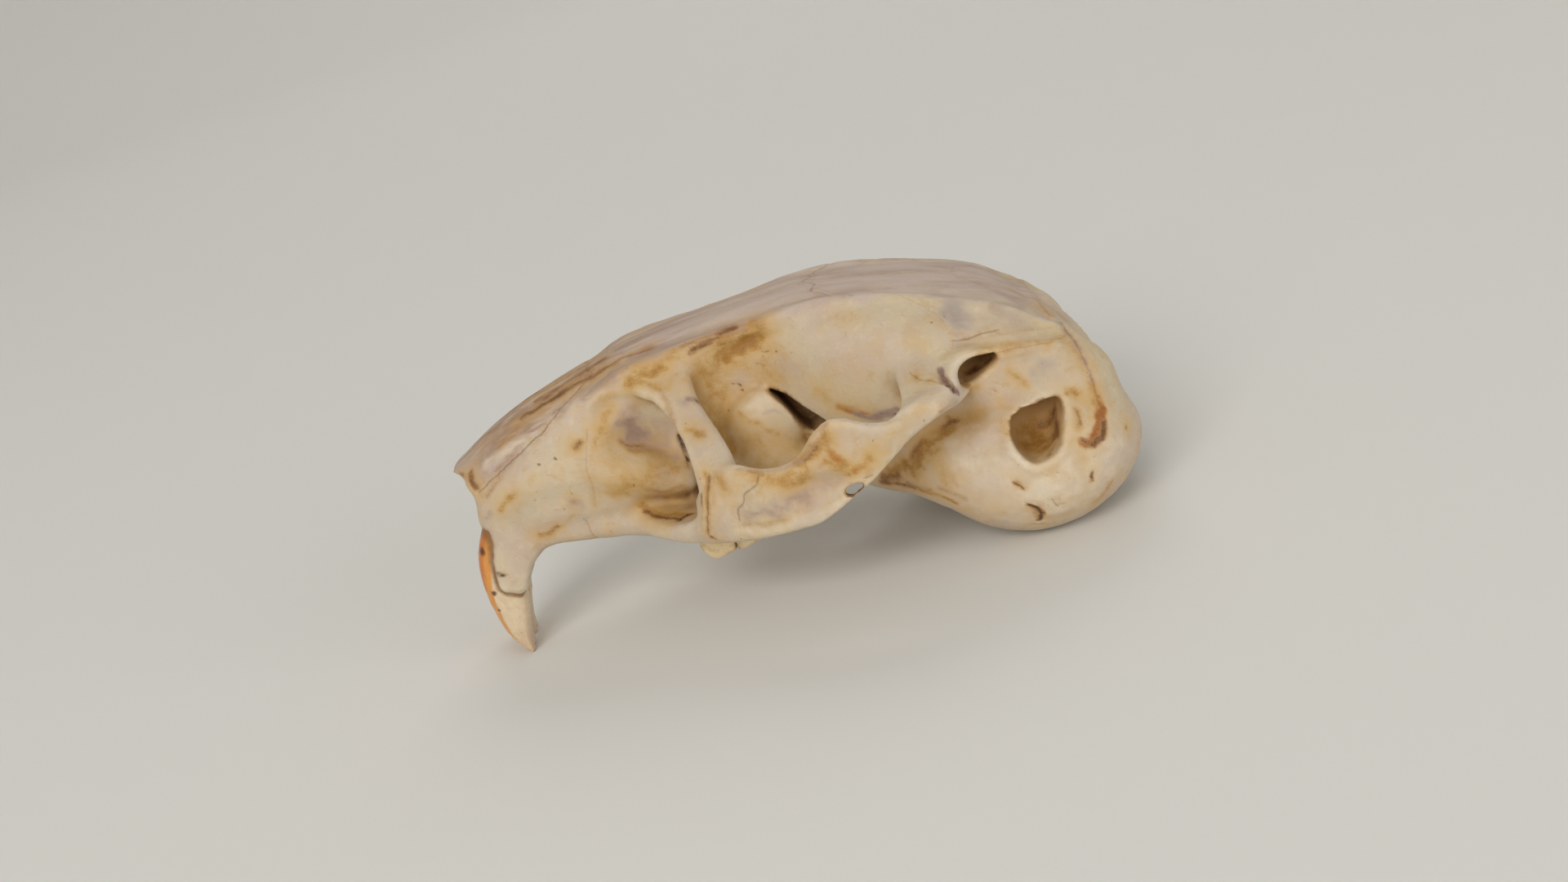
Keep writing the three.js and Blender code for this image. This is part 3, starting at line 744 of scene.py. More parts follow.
incisor_form = bar(INCISOR, up=X_AXIS, squareness=2.9, spacing=0.3)
root_form = bar(INCISOR[:ROOT_ROWS], up=X_AXIS, squareness=3.2, spacing=0.35)
clay.add(grown(root_form, ROOT_WALL), 0.1)
clay.cut(grown(incisor_form, -SOCKET_GRIP), 0.05)

incisor_clay = Clay((-21.0, -3.3, -0.4), (-12.6, 0.0, 13.8), INCISOR_STEP)
incisor_clay.add(incisor_form, 0)
incisor_clay.cut(TIP_HOLLOW, 0.06)
incisor_clay.field = np.maximum(incisor_clay.field, TIP_HEIGHT - incisor_clay.axes[2][None, None, :])
incisor_points, incisor_faces = incisor_clay.faces(both=False)
incisor_faces = outward(incisor_points, incisor_faces)
print("incisor:", len(incisor_points), "points")

# %% [markdown]
# ## Teeth by rule: the cheek teeth
# The eight cheek teeth have one build: a bean-shaped prism with a raised rim of enamel round a worn hollow.
# They could be modelled one by one, but a rule that repeats is what Geometry Nodes are for.
# One tree makes them all from named sizes, and each finished tooth becomes a plain mesh.

# %% Sockets for the cheek teeth
# Each cheek tooth: x, y, height of its lowest edge, half length, half width
CHEEK_TEETH = [
    (-3.85, -3.25, 3.4, 1.2, 1.3), (-1.6, -3.5, 3.5, 1.04, 1.22), (0.4, -3.75, 4.0, 0.95, 1.1),
    (2.05, -3.95, 5.0, 0.68, 0.8),
]
TOOTH_HEIGHT = 3.2
TOOTH_DENT = 0.42
TOOTH_LEAN = math.tan(math.radians(8))
SOCKET_CORNERS = 28
BELOW_THE_TOOTH = 1.5


def bean(half_length, half_width):
    """The outline of a cheek tooth round its middle, hollowed on the outer side."""
    turn = 2 * np.pi * np.arange(SOCKET_CORNERS) / SOCKET_CORNERS
    across = np.sin(turn) + TOOTH_DENT * np.maximum(0, -np.sin(turn)) ** 3
    return np.stack([np.cos(turn) * half_length, across * half_width], axis=1)


tooth_forms = [incisor_form]
for x, y, low, half_length, half_width in CHEEK_TEETH:
    start = low - BELOW_THE_TOOTH
    outline = bean(half_length, half_width) + [x, y + TOOTH_LEAN * (low - start)]
    tooth_forms.append(prism(outline, 2, start, low + TOOTH_HEIGHT, TOOTH_LEAN))
    clay.cut(grown(tooth_forms[-1], -SOCKET_GRIP), 0.06)
print("sockets:", len(tooth_forms), "on each side")

# %% The cranium's surface
SMOOTHING_ROUNDS = 3

bone_points, bone_faces = clay.faces()
bone_faces = bone_faces[largest_shell(len(bone_points), bone_faces)]
bone_points, bone_faces = used_points(bone_points, bone_faces)
bone_faces = outward(bone_points, bone_faces)
bone_points = evened(bone_points, bone_faces, SMOOTHING_ROUNDS)
print("cranium:", len(bone_points), "points,", 2 * len(bone_faces), "triangles")

# %% [markdown]
# ## Relief too fine for the clay
# Joint lines, pores and the slight unevenness of bone are finer than the clay's cells.
# They are pressed into the finished mesh by moving its points along their normals.
# The noise comes from a fixed table of random numbers, so the skull is the same on each run.

# %% Noise and distances to drawn lines
NOISE_CELLS = 32


def between_corners(cell, t, corner_values):
    """A value at each point, from the values at the eight corners of its cell."""
    total = np.zeros(len(t))
    for corner in np.ndindex(2, 2, 2):
        weight = np.prod(np.where(corner, t, 1 - t), axis=1)
        total += weight * corner_values(cell + corner)
    return total


def noise(points, size, seed):
    """Smooth noise from -1 to 1 that changes over about this size in millimetres."""
    table = np.random.default_rng(seed).uniform(-1, 1, (NOISE_CELLS, NOISE_CELLS, NOISE_CELLS))
    place = points / size
    cell = np.floor(place).astype(int)
    t = place - cell
    return between_corners(cell, t * t * (3 - 2 * t), lambda corner: table[tuple((corner % NOISE_CELLS).T)])


def noises(size, *seeds):
    """Three noises at the bone's points, to shift them a little along X, Y and Z."""
    return np.stack([noise(bone_points, size, seed) for seed in seeds], axis=1)


def fade(value, start, end):
    """1 where the value is below the start, 0 above the end, smooth between."""
    t = np.clip((value - start) / (end - start), 0, 1)
    return 1 - t * t * (3 - 2 * t)


def to_path(points, path):
    """Distance of each point to a drawn path, and the nearest place on it with the path's direction."""
    path = np.asarray(path, float)
    best = np.full(len(points), 1e9)
    foot = np.zeros_like(points)
    way = np.zeros_like(points)
    if len(path) == 1:
        path = np.stack([path[0], path[0] + [1e-6, 0, 0]])
    for start, end in zip(path[:-1], path[1:]):
        step = end - start
        t = np.clip((points - start) @ step / (step @ step), 0, 1)
        near = start + t[:, None] * step
        away = np.linalg.norm(points - near, axis=1)
        closer = away < best
        best[closer], foot[closer], way[closer] = away[closer], near[closer], step / np.linalg.norm(step)
    return best, foot, way


def vertex_normals(points, faces):
    """The way out of the surface at each point, one millimetre long."""
    normals = np.zeros_like(points)
    a, b, c, d = [points[faces[:, k]] for k in range(4)]
    face = np.cross(c - a, d - b)
    for k in range(4):
        np.add.at(normals, faces[:, k], face)
    return normals / np.maximum(np.linalg.norm(normals, axis=1), 1e-9)[:, None]


# %% [markdown]
# ## Where the camera stands
# The camera looks at the left side from a little above, and is rolled so that the snout points down to the
# left. It stands about as far off as a close-up lens does, so what is near looks a little larger than what is
# far. Its place is worked out this early because the stains are drawn as the camera sees them.

# %% The camera's place and directions, in millimetres on the skull
VIEW_HEIGHT = math.radians(18)
VIEW_ROLL = math.radians(17)
HALF_VIEW = math.radians(12.5)
HALF_PICTURE = 30
LOOK_AT = Vector((2.4, 0, 8.35))
CAMERA_DISTANCE = HALF_PICTURE / math.tan(HALF_VIEW)

view_back = Vector((0, -math.cos(VIEW_HEIGHT), math.sin(VIEW_HEIGHT)))
level = Vector((1, 0, 0))
upright = view_back.cross(level)
view_right = level * math.cos(VIEW_ROLL) - upright * math.sin(VIEW_ROLL)
view_up = level * math.sin(VIEW_ROLL) + upright * math.cos(VIEW_ROLL)
eye = LOOK_AT + view_back * CAMERA_DISTANCE
print("camera at", [round(value, 1) for value in eye], "mm on the skull")

# %% [markdown]
# ## Stains, painted shade and highlights, and joint lines
# Old bone is cream where it was rubbed and ochre, brown or violet-grey where soil and water got in. Some pale
# strokes are painted highlights, and some violet, brown and dark strokes are painted shade in hollows, grooves
# and below edges.
# An image texture could carry that, but a drawn mask for each colour stays sharp at any distance and can be
# moved. Each stroke is a strength, a reach and a short path. The path's places are in millimetres to the
# right of the picture's middle and above it, and each is laid on the bone where the camera sees it.

# %% Ochre: the wide soft stains of the soil
OCHRE = [
    (0.7, 0.4, [(-19.3, -4.8), (-18.8, -4.1), (-18.3, -3.6)]), (0.4, 0.4, [(-17.3, -2.9), (-17.0, -2.2)]),
    (0.6, 0.7, [(-14.2, -0.3)]), (0.5, 0.5, [(-16.7, -6.6), (-16.0, -6.3), (-15.3, -5.8)]),
    (0.5, 2.0, [(-11.9, -1.4), (-10.3, -2.8), (-8.6, -3.3)]),
    (0.6, 0.4, [(-11.1, -0.3), (-10.3, -0.7), (-8.9, -0.9)]),
    (0.6, 0.6, [(-11.9, 2.3), (-12.5, 1.1), (-12.8, -0.3)]),
    (0.4, 0.4, [(-13.2, -0.8), (-13.0, -2.8), (-12.8, -4.3)]),
    (0.8, 0.6, [(-9.7, -4.4), (-8.3, -4.9), (-6.9, -5.1)]), (0.5, 0.5, [(-6.3, 4.3), (-6.1, 3.4)]),
    (0.7, 0.5, [(-6.4, 0.8), (-5.7, 0.5)]), (0.6, 0.6, [(-4.7, -2.5), (-4.3, -2.9), (-4.0, -3.3)]),
    (0.7, 0.3, [(-5.4, -2.1), (-5.2, -3.3), (-5.2, -5.0), (-5.1, -6.4)]),
    (0.5, 0.7, [(-2.9, -2.2), (-1.9, -2.5)]), (0.65, 0.6, [(-10.6, 3.7), (-9.4, 3.9), (-8.2, 3.7)]),
    (0.6, 0.7, [(-9.7, 4.8), (-8.3, 5.4), (-7.2, 5.9)]), (0.5, 0.7, [(-12.5, 2.7), (-11.8, 3.3)]),
    (0.95, 0.9, [(-4.2, 5.6), (-3.4, 6.1), (-2.6, 6.6), (-1.7, 7.1)]),
    (0.4, 1.0, [(-1.4, 6.1), (0.0, 6.0)]), (0.5, 2.4, [(-4.4, 2.2), (-3.1, 0.0), (-1.4, -0.9)]),
    (0.45, 1.6, [(-0.6, 0.0), (0.7, -0.3)]), (0.75, 0.55, [(1.9, -1.2), (2.6, -0.4), (3.0, 0.2)]),
    (0.7, 0.5, [(3.9, 2.3), (5.0, 2.2)]), (0.5, 0.7, [(2.2, 3.4), (2.9, 2.9)]),
    (0.3, 1.5, [(5.6, 4.2), (3.3, 3.9)]),
    (0.65, 0.8, [(-1.7, -2.4), (-0.6, -2.7), (0.6, -2.7), (1.6, -2.2)]),
    (0.8, 0.5, [(3.0, -0.4), (3.4, -1.1), (4.2, -1.6)]),
    (0.75, 0.6, [(4.4, -2.2), (5.1, -1.9), (5.8, -1.4)]), (0.6, 0.3, [(8.9, 4.4), (9.3, 4.1), (10.2, 4.1)]),
    (0.4, 0.5, [(9.4, 2.2), (7.8, 0.6)]), (0.8, 1.0, [(7.3, -2.2), (8.6, -1.7), (9.4, -1.1)]),
    (0.6, 0.8, [(8.9, -1.1), (10.6, -0.4)]), (0.5, 1.0, [(11.4, 1.3), (12.8, 1.6)]),
    (0.5, 1.0, [(10.6, -1.7), (11.1, -2.8)]), (0.7, 0.3, [(12.2, 3.8), (12.8, 3.6), (13.3, 3.6)]),
    (0.5, 0.6, [(13.3, 6.2), (14.6, 6.3), (16.1, 6.5)]), (0.45, 0.8, [(15.1, 2.2), (15.0, 0.8)]),
    (0.6, 0.5, [(16.4, 3.9), (15.6, 4.7)]), (0.7, 0.5, [(19.3, 3.4), (19.9, 3.1)]),
    (0.6, 0.5, [(19.9, 2.2), (20.1, 1.0)]), (0.85, 1.6, [(16.8, 0.6), (17.8, -0.3)]),
    (0.7, 0.35, [(20.8, 4.4), (21.3, 3.3), (21.6, 2.2), (21.7, 1.4)]),
    (0.5, 0.8, [(20.6, 2.8), (21.0, 1.7)]),
    (0.5, 0.5, [(14.6, 6.1), (16.3, 6.5), (18.0, 6.7), (19.3, 7.3)]),
    (0.5, 0.6, [(17.2, 9.2), (18.3, 8.6)]), (0.5, 1.0, [(19.4, 6.7), (20.4, 5.1)]),
    (0.6, 0.4, [(15.8, -2.9), (16.3, -3.2)]), (0.5, 0.3, [(20.9, -2.7)]), (0.8, 0.3, [(23.3, 1.0)]),
    (0.5, 0.6, [(22.2, -2.9), (21.4, -4.0)]), (0.4, 0.6, [(18.4, -5.2), (19.4, -4.9)]),
    (0.35, 1.5, [(15.0, -4.3), (12.2, -3.3)]), (0.45, 1.5, [(-4.9, 3.9), (-3.6, 1.4), (-1.4, -0.8)]),
    (0.5, 1.2, [(-3.3, 5.3), (-0.3, 4.2)]), (0.6, 0.5, [(-3.1, 1.9), (-1.9, 1.1), (-0.6, 0.6)]),
    (0.75, 0.6, [(0.8, -1.7), (1.9, -0.6), (2.8, 0.7)]), (0.7, 0.5, [(2.9, -1.4), (4.2, -1.9)]),
    (0.8, 0.8, [(16.8, 0.3), (17.5, -0.8)]), (0.8, 0.6, [(-10.6, 3.9), (-9.4, 4.6), (-8.2, 4.9)]),
    (0.8, 0.9, [(-4.4, 6.9), (-3.1, 7.5), (-1.9, 7.9)]),
    (0.5, 1.2, [(-11.9, 1.1), (-11.8, -0.8), (-11.4, -2.5)]), (0.8, 0.3, [(-2.2, -2.1), (-1.4, -2.3)]),
    (0.65, 1.7, [(-5.4, 5.0), (-4.9, 2.8), (-3.9, 0.0)]),
    (0.6, 1.4, [(-11.4, -3.3), (-9.4, -2.8), (-7.2, -1.7)]),
    (0.8, 0.7, [(8.9, -1.1), (10.0, 0.0), (11.4, 0.8)]),
    (0.8, 0.35, [(9.3, -3.3), (10.6, -3.7), (11.8, -4.2)]),
    (0.6, 0.9, [(1.4, -1.8), (2.2, -1.1), (3.1, -0.3)]),
    (0.65, 0.6, [(20.8, 3.9), (21.4, 2.2), (21.7, 0.7)]),
]
print(len(OCHRE), "ochre strokes")

# %% Orange: stronger spots inside the ochre
ORANGE = [
    (0.6, 0.4, [(3.6, 2.4), (4.1, 2.2)]), (0.8, 0.35, [(4.3, 2.1), (5.0, 1.9), (5.7, 1.9)]),
    (0.7, 0.35, [(3.2, -0.9), (3.9, -1.4)]), (0.6, 0.3, [(4.8, -2.1), (5.3, -1.8)]),
    (0.5, 0.4, [(10.1, 0.6), (10.7, 1.0)]), (0.8, 0.3, [(21.4, 3.1), (21.7, 1.9), (21.7, 0.8)]),
    (0.6, 0.4, [(20.8, 0.3), (21.3, 0.6)]),
    (1.0, 0.45, [(21.6, 2.2), (21.5, 1.1), (21.1, 0.1), (20.7, -0.2), (20.2, -0.1)]),
    (0.9, 0.22, [(16.8, -4.5), (17.3, -4.6), (17.7, -4.9), (17.4, -5.3)]),
]
print(len(ORANGE), "orange strokes")

# %% Brown: narrow stains along edges, joints and small dents, and some painted shade along edges and below the roof's edge
BROWN_AND_SHADE = [
    (0.55, 0.5, [(-18.2, 1.0), (-16.6, 2.2), (-14.9, 3.3), (-12.9, 4.5), (-11.4, 5.2)]),
    (0.5, 0.3, [(-19.3, -0.4), (-17.8, 1.0), (-16.2, 2.2)]),
    (0.6, 0.35, [(-6.9, 6.4), (-5.4, 7.1), (-3.6, 7.8)]), (0.9, 0.35, [(-21.2, -2.8), (-20.9, -3.2)]),
    (0.6, 0.25, [(-22.1, -2.2), (-21.8, -2.3)]), (0.5, 0.25, [(-20.3, -3.7), (-19.7, -3.1), (-19.3, -2.6)]),
    (0.8, 0.35, [(-14.2, -0.4), (-14.0, -0.1)]), (0.6, 0.3, [(-14.3, -4.2)]),
    (0.7, 0.28, [(-16.6, -6.4), (-16.0, -6.2), (-15.4, -5.8)]), (0.6, 0.18, [(-11.8, -6.1)]),
    (0.45, 0.22, [(-10.8, -0.4), (-10.0, -0.7), (-9.2, -0.7)]),
    (0.55, 0.3, [(-9.2, -3.3), (-8.1, -3.5), (-6.9, -3.1)]),
    (0.95, 0.35, [(-9.4, -4.8), (-8.3, -5.2), (-7.1, -5.3), (-6.3, -5.0)]),
    (0.6, 0.3, [(-6.6, -1.1), (-6.4, -1.8)]), (0.5, 0.3, [(-6.1, 0.7), (-5.4, 0.4)]),
    (0.5, 0.35, [(-4.6, -2.7), (-4.1, -3.1)]), (0.6, 0.18, [(-5.3, -2.5), (-5.2, -4.2), (-5.1, -6.1)]),
    (0.7, 0.28, [(-4.9, -6.6), (-4.6, -6.7)]), (0.6, 0.3, [(-3.1, 6.0), (-2.3, 6.7), (-1.9, 7.2)]),
    (0.7, 0.35, [(1.4, -1.4), (1.9, -0.9), (2.3, -0.3)]), (0.5, 0.25, [(2.5, -1.8), (2.9, -1.2)]),
    (0.45, 0.3, [(-2.8, -5.6), (-1.4, -5.7), (0.0, -5.3)]), (0.5, 0.2, [(10.6, 2.0), (11.2, 2.5)]),
    (0.8, 0.6, [(6.8, -2.7), (7.8, -2.4)]), (0.6, 0.35, [(8.4, -2.8), (9.3, -3.2), (10.0, -3.3)]),
    (0.5, 0.3, [(8.8, -0.6), (9.2, -1.1)]), (0.6, 0.3, [(11.1, 1.6), (11.9, 1.4)]),
    (0.5, 0.35, [(10.6, -3.2), (11.4, -3.5), (12.4, -3.9)]), (0.9, 0.7, [(12.8, 4.7), (13.9, 5.4)]),
    (0.5, 0.15, [(14.2, 3.6), (14.6, 3.3)]), (0.6, 0.2, [(19.2, 3.2), (19.6, 3.3), (19.9, 3.1)]),
    (0.75, 0.25, [(19.8, 2.2), (20.0, 1.7), (20.1, 1.1)]), (0.85, 0.9, [(18.4, 1.9), (18.5, 0.6)]),
    (0.6, 0.4, [(17.1, -1.1)]), (0.7, 0.14, [(15.2, 0.5)]),
    (0.95, 0.32, [(21.8, 1.2), (21.7, 0.3), (21.0, -0.2), (20.2, 0.1)]),
    (0.45, 0.25, [(15.3, 10.3), (17.1, 9.7), (18.0, 8.6), (19.1, 8.1)]),
    (0.4, 0.2, [(15.0, 6.1), (16.7, 6.4)]), (0.4, 0.2, [(14.2, 7.2), (16.1, 7.5), (18.3, 7.8)]),
    (0.8, 0.2, [(15.6, -2.8), (16.0, -3.1), (16.4, -3.3)]), (0.7, 0.35, [(16.9, -4.7), (17.4, -5.2)]),
    (0.6, 0.15, [(18.2, -4.0), (18.8, -3.8)]), (0.6, 0.14, [(18.0, -2.4)]), (0.6, 0.14, [(18.7, -2.1)]),
    (0.8, 0.2, [(20.9, -2.4)]), (0.6, 0.2, [(23.3, 0.9)]),
    (0.85, 0.45, [(-17.8, 1.6), (-16.0, 2.7), (-14.2, 3.7), (-12.2, 4.9)]),
    (0.6, 0.3, [(-12.2, 4.9), (-10.3, 5.9), (-8.9, 6.4)]),
    (0.8, 0.7, [(17.5, 1.1), (18.2, 1.7), (18.7, 0.6)]), (0.6, 0.35, [(18.3, -0.4), (18.0, -1.1)]),
    (0.7, 0.25, [(-11.2, 0.0), (-10.4, -0.3), (-9.7, -0.3)]),
    (0.5, 0.35, [(-8.4, 3.4), (-7.9, 2.2), (-7.4, 1.1)]),
    (0.95, 0.14, [(16.8, -4.5), (17.3, -4.6), (17.7, -4.9), (17.4, -5.3)]),
    (0.6, 0.12, [(16.7, -5.6), (17.9, -5.6)]), (0.8, 0.2, [(21.0, -2.1), (20.9, -2.7)]),
    (0.6, 0.12, [(18.5, -4.3), (19.1, -4.1)]), (0.75, 0.5, [(-21.3, -2.4), (-21.0, -3.0)]),
    (0.9, 0.3, [(-6.3, 6.1), (-4.9, 6.9), (-3.4, 7.7)]),
    (0.75, 0.7, [(-16.7, 2.7), (-14.4, 4.2), (-12.5, 5.4)]),
    (0.6, 0.5, [(-15.0, 4.7), (-12.2, 6.3), (-10.0, 7.1)]),
    (0.8, 0.35, [(10.8, 0.9), (11.3, 1.3), (11.8, 1.4)]), (0.7, 0.4, [(8.8, -0.9), (9.4, -0.1)]),
    (0.8, 0.3, [(6.6, -2.7), (7.8, -2.9), (8.8, -3.1)]),
    (0.45, 1.1, [(-20.4, -0.3), (-18.8, 1.1), (-16.8, 2.4), (-14.9, 3.6), (-13.1, 4.8)]),
]
print(len(BROWN_AND_SHADE), "brown strokes")

# %% Violet-grey: tinges of thin bone, and painted shade in hollows, grooves and below the roof's edge
VIOLET_AND_SHADE = [
    (0.6, 0.8, [(-17.8, 1.9), (-15.6, 3.4), (-13.3, 4.9), (-11.1, 6.0)]),
    (0.5, 0.6, [(-6.9, 6.8), (-4.4, 7.7), (-1.7, 8.4)]), (0.6, 0.45, [(-20.2, -5.3), (-20.0, -4.9)]),
    (0.6, 0.6, [(-14.4, -4.2), (-14.0, -4.4)]), (0.75, 1.3, [(-10.7, 1.4), (-9.9, 0.6)]),
    (0.5, 0.5, [(-11.0, 0.0), (-10.0, -0.4), (-8.9, -0.4), (-8.1, -0.3)]),
    (0.4, 0.7, [(-8.9, -4.0), (-8.1, -2.5)]), (0.5, 1.0, [(-8.1, 1.1), (-7.8, -0.3)]),
    (0.6, 0.5, [(-7.1, 2.9), (-6.6, 2.5)]), (0.5, 0.22, [(-1.4, 1.9), (-0.6, 2.1), (-0.2, 1.9)]),
    (0.85, 0.45, [(6.1, 1.8), (6.9, 1.9), (7.7, 2.1)]), (0.3, 2.0, [(2.2, 5.6), (5.6, 6.1)]),
    (0.35, 1.6, [(8.9, 7.8), (12.2, 8.2)]), (0.35, 1.2, [(13.9, 7.8), (16.1, 8.1)]),
    (0.6, 0.2, [(-3.2, -1.9), (-2.1, -2.1), (0.0, -1.9), (1.2, -1.4), (2.2, 0.1), (2.9, 1.2)]),
    (0.5, 0.16, [(3.9, 1.4), (5.6, 1.1), (7.2, 1.2), (8.3, 1.8)]),
    (0.65, 0.9, [(-2.5, -5.0), (-1.1, -4.7), (0.3, -4.3), (1.7, -3.6)]),
    (0.45, 0.7, [(2.2, -3.3), (3.9, -2.7)]), (0.35, 0.7, [(7.2, -0.3), (8.9, 1.1)]),
    (0.5, 0.4, [(11.4, 2.9), (11.7, 2.6)]), (0.4, 1.4, [(17.5, 5.3), (18.3, 4.7)]),
    (0.7, 0.3, [(18.8, 8.1), (19.7, 6.9), (20.4, 5.6), (21.0, 4.0)]),
    (0.5, 0.5, [(15.6, 10.4), (16.8, 10.1)]), (0.5, 0.8, [(14.4, 8.9), (16.1, 9.3)]),
    (0.35, 1.2, [(17.8, 9.9), (19.3, 8.6)]), (0.3, 1.5, [(12.8, -2.8), (15.0, -3.3)]),
    (0.9, 0.45, [(-6.5, 2.8), (-5.8, 2.6)]),
    (1.0, 0.34, [(10.7, 4.9), (10.9, 4.3), (11.2, 3.9), (11.4, 3.5), (11.8, 3.3)]),
    (0.6, 1.0, [(-10.3, 5.7), (-8.1, 6.4), (-5.8, 7.2), (-3.3, 7.8)]),
    (0.8, 0.5, [(4.9, 1.8), (6.2, 1.5), (7.5, 1.8)]),
]
print(len(VIOLET_AND_SHADE), "violet strokes")

# %% Grey: two cool patches on the braincase
GREY = [
    (0.8, 1.1, [(11.4, 9.2), (11.8, 8.1)]), (0.6, 1.0, [(17.9, 5.2), (17.2, 4.7)]),
]
print(len(GREY), "grey strokes")

# %% Pale: rubbed places, and painted highlights on rims, domes and the ear capsules' lower sides
PALE_AND_HIGHLIGHT = [
    (0.6, 0.5, [(-20.2, -1.6), (-18.9, -0.7), (-17.8, 0.0)]), (0.5, 0.9, [(-1.9, 2.5), (-1.1, 2.7)]),
    (0.5, 0.5, [(-3.1, -6.1), (-0.6, -6.1), (1.4, -5.4)]),
    (0.5, 0.35, [(15.4, -0.7), (16.4, -1.7), (17.5, -1.9)]),
    (0.6, 3.0, [(12.8, -2.8), (15.6, -4.0), (18.9, -3.6)]), (0.5, 2.4, [(21.7, 1.1), (21.4, -2.2)]),
]
print(len(PALE_AND_HIGHLIGHT), "pale strokes")

# %% Dark: deep dirt and painted shade in cracks, slots and corners
DARK_DIRT_AND_SHADE = [
    (0.8, 0.25, [(-7.1, -5.4), (-6.5, -5.0)]), (0.9, 0.26, [(-7.1, 0.3), (-6.8, -0.4), (-6.5, -1.2)]),
    (0.7, 0.22, [(-5.6, -3.7), (-5.6, -4.3)]), (0.7, 0.14, [(6.7, 1.9)]), (0.6, 0.12, [(7.6, 1.9)]),
    (0.55, 0.3, [(10.7, 4.7), (11.0, 4.1), (11.5, 3.3)]),
    (0.9, 0.2, [(16.7, -4.4), (17.2, -4.6), (17.6, -5.0), (17.4, -5.4)]),
    (0.45, 0.24, [(10.7, 4.9), (10.9, 4.3), (11.2, 3.9), (11.4, 3.5), (11.8, 3.3)]),
    (0.8, 0.22, [(-19.5, -9.1), (-19.0, -9.2)]),
]
print(len(DARK_DIRT_AND_SHADE), "dark strokes")

# %% All strokes, under the names of their masks
STROKES = {"brown": BROWN_AND_SHADE, "violet": VIOLET_AND_SHADE, "pale": PALE_AND_HIGHLIGHT, "ochre": OCHRE, "dark": DARK_DIRT_AND_SHADE, "orange": ORANGE,
           "grey": GREY}
TINGED = ("ochre", "orange", "brown")

# %% Joint lines and cracks: share of the lighter brown, strength, half width, depth, path
LINES = [
    (0.5, 0.75, 0.07, 0.06, [(-20.83, -3.56), (-19.94, -2.67), (-18.00, -0.94), (-15.67, 1.61),
                             (-13.33, 4.11), (-11.00, 5.67), (-9.06, 6.28)]),
    (1.0, 0.3, 0.06, 0.02, [(-13.50, 0.83), (-13.50, -1.67), (-13.06, -2.78), (-12.78, -4.33)]),
    (0.5, 0.7, 0.06, 0.05, [(-1.67, -2.33), (-1.83, -3.06), (-2.67, -3.72), (-2.78, -4.28), (-3.22, -4.72),
                            (-3.06, -5.39)]),
    (0.5, 0.8, 0.08, 0.08, [(-5.22, -2.33), (-5.17, -3.89), (-5.22, -5.56), (-5.11, -6.44)]),
    (0.5, 0.7, 0.06, 0.05, [(11.44, 6.89), (12.44, 7.00), (13.61, 7.33), (14.56, 7.67)]),
    (0.5, 0.55, 0.06, 0.04, [(8.56, 4.67), (8.89, 4.39), (9.28, 4.11), (10.39, 4.06)]),
    (0.5, 0.4, 0.05, 0.03, [(15.56, 10.28), (17.11, 9.67), (18.00, 8.61), (19.06, 8.06)]),
    (0.5, 0.5, 0.06, 0.05, [(18.89, 8.11), (19.72, 6.89), (20.39, 5.56), (21.00, 4.00), (21.50, 2.44)]),
    (0.0, 0.85, 0.08, 0.12, [(16.56, -4.44), (17.22, -4.56), (17.56, -5.00), (17.44, -5.44)]),
    (0.0, 0.6, 0.05, 0.05, [(15.56, -2.78), (16.44, -3.33)]),
    (0.0, 0.5, 0.05, 0.05, [(18.22, -4.06), (18.72, -4.39)]),
    (0.5, 0.5, 0.06, 0.03, [(22.44, -2.67), (21.67, -3.72), (20.78, -4.83)]),
    (0.5, 0.35, 0.05, 0.03, [(14.28, 6.00), (16.67, 6.44), (18.06, 6.67), (19.17, 7.17)]),
    (1.0, 0.3, 0.05, 0.02, [(5.56, 10.33), (7.22, 10.11), (9.44, 9.28), (10.56, 8.56), (11.00, 7.78)]),
    (0.5, 0.6, 0.05, 0.06, [(5.17, -2.89), (5.56, -2.56), (6.00, -2.44)]),
]
print(len(LINES), "lines on the left side")

# %% Pits and pores: radius, depth, place
PITS = [
    (0.13, 0.16, (-16.67, -1.61)), (0.14, 0.18, (-15.61, -1.17)), (0.11, 0.14, (-3.39, 3.89)),
    (0.11, 0.14, (-3.00, 3.78)), (0.11, 0.14, (-2.83, 3.50)), (0.08, 0.1, (-1.44, 6.11)),
    (0.08, 0.1, (-1.39, 5.72)), (0.08, 0.1, (-1.11, 6.11)), (0.07, 0.1, (-0.56, 6.11)),
    (0.08, 0.1, (-0.22, 6.33)), (0.08, 0.1, (0.22, 6.11)), (0.07, 0.1, (0.56, 6.00)),
    (0.08, 0.1, (0.22, 5.61)), (0.07, 0.1, (-1.83, 5.17)), (0.07, 0.1, (-1.39, 5.17)),
    (0.07, 0.1, (-1.61, 5.33)), (0.07, 0.08, (18.00, -2.33)), (0.07, 0.08, (18.67, -2.06)),
    (0.09, 0.12, (20.94, -2.44)), (0.1, 0.14, (6.67, 1.89)), (0.09, 0.12, (7.61, 1.83)),
    (0.09, 0.12, (-5.89, 2.72)), (0.07, 0.1, (15.39, 0.50)), (0.1, 0.12, (-4.89, -6.56)),
]
print(len(PITS), "pits")

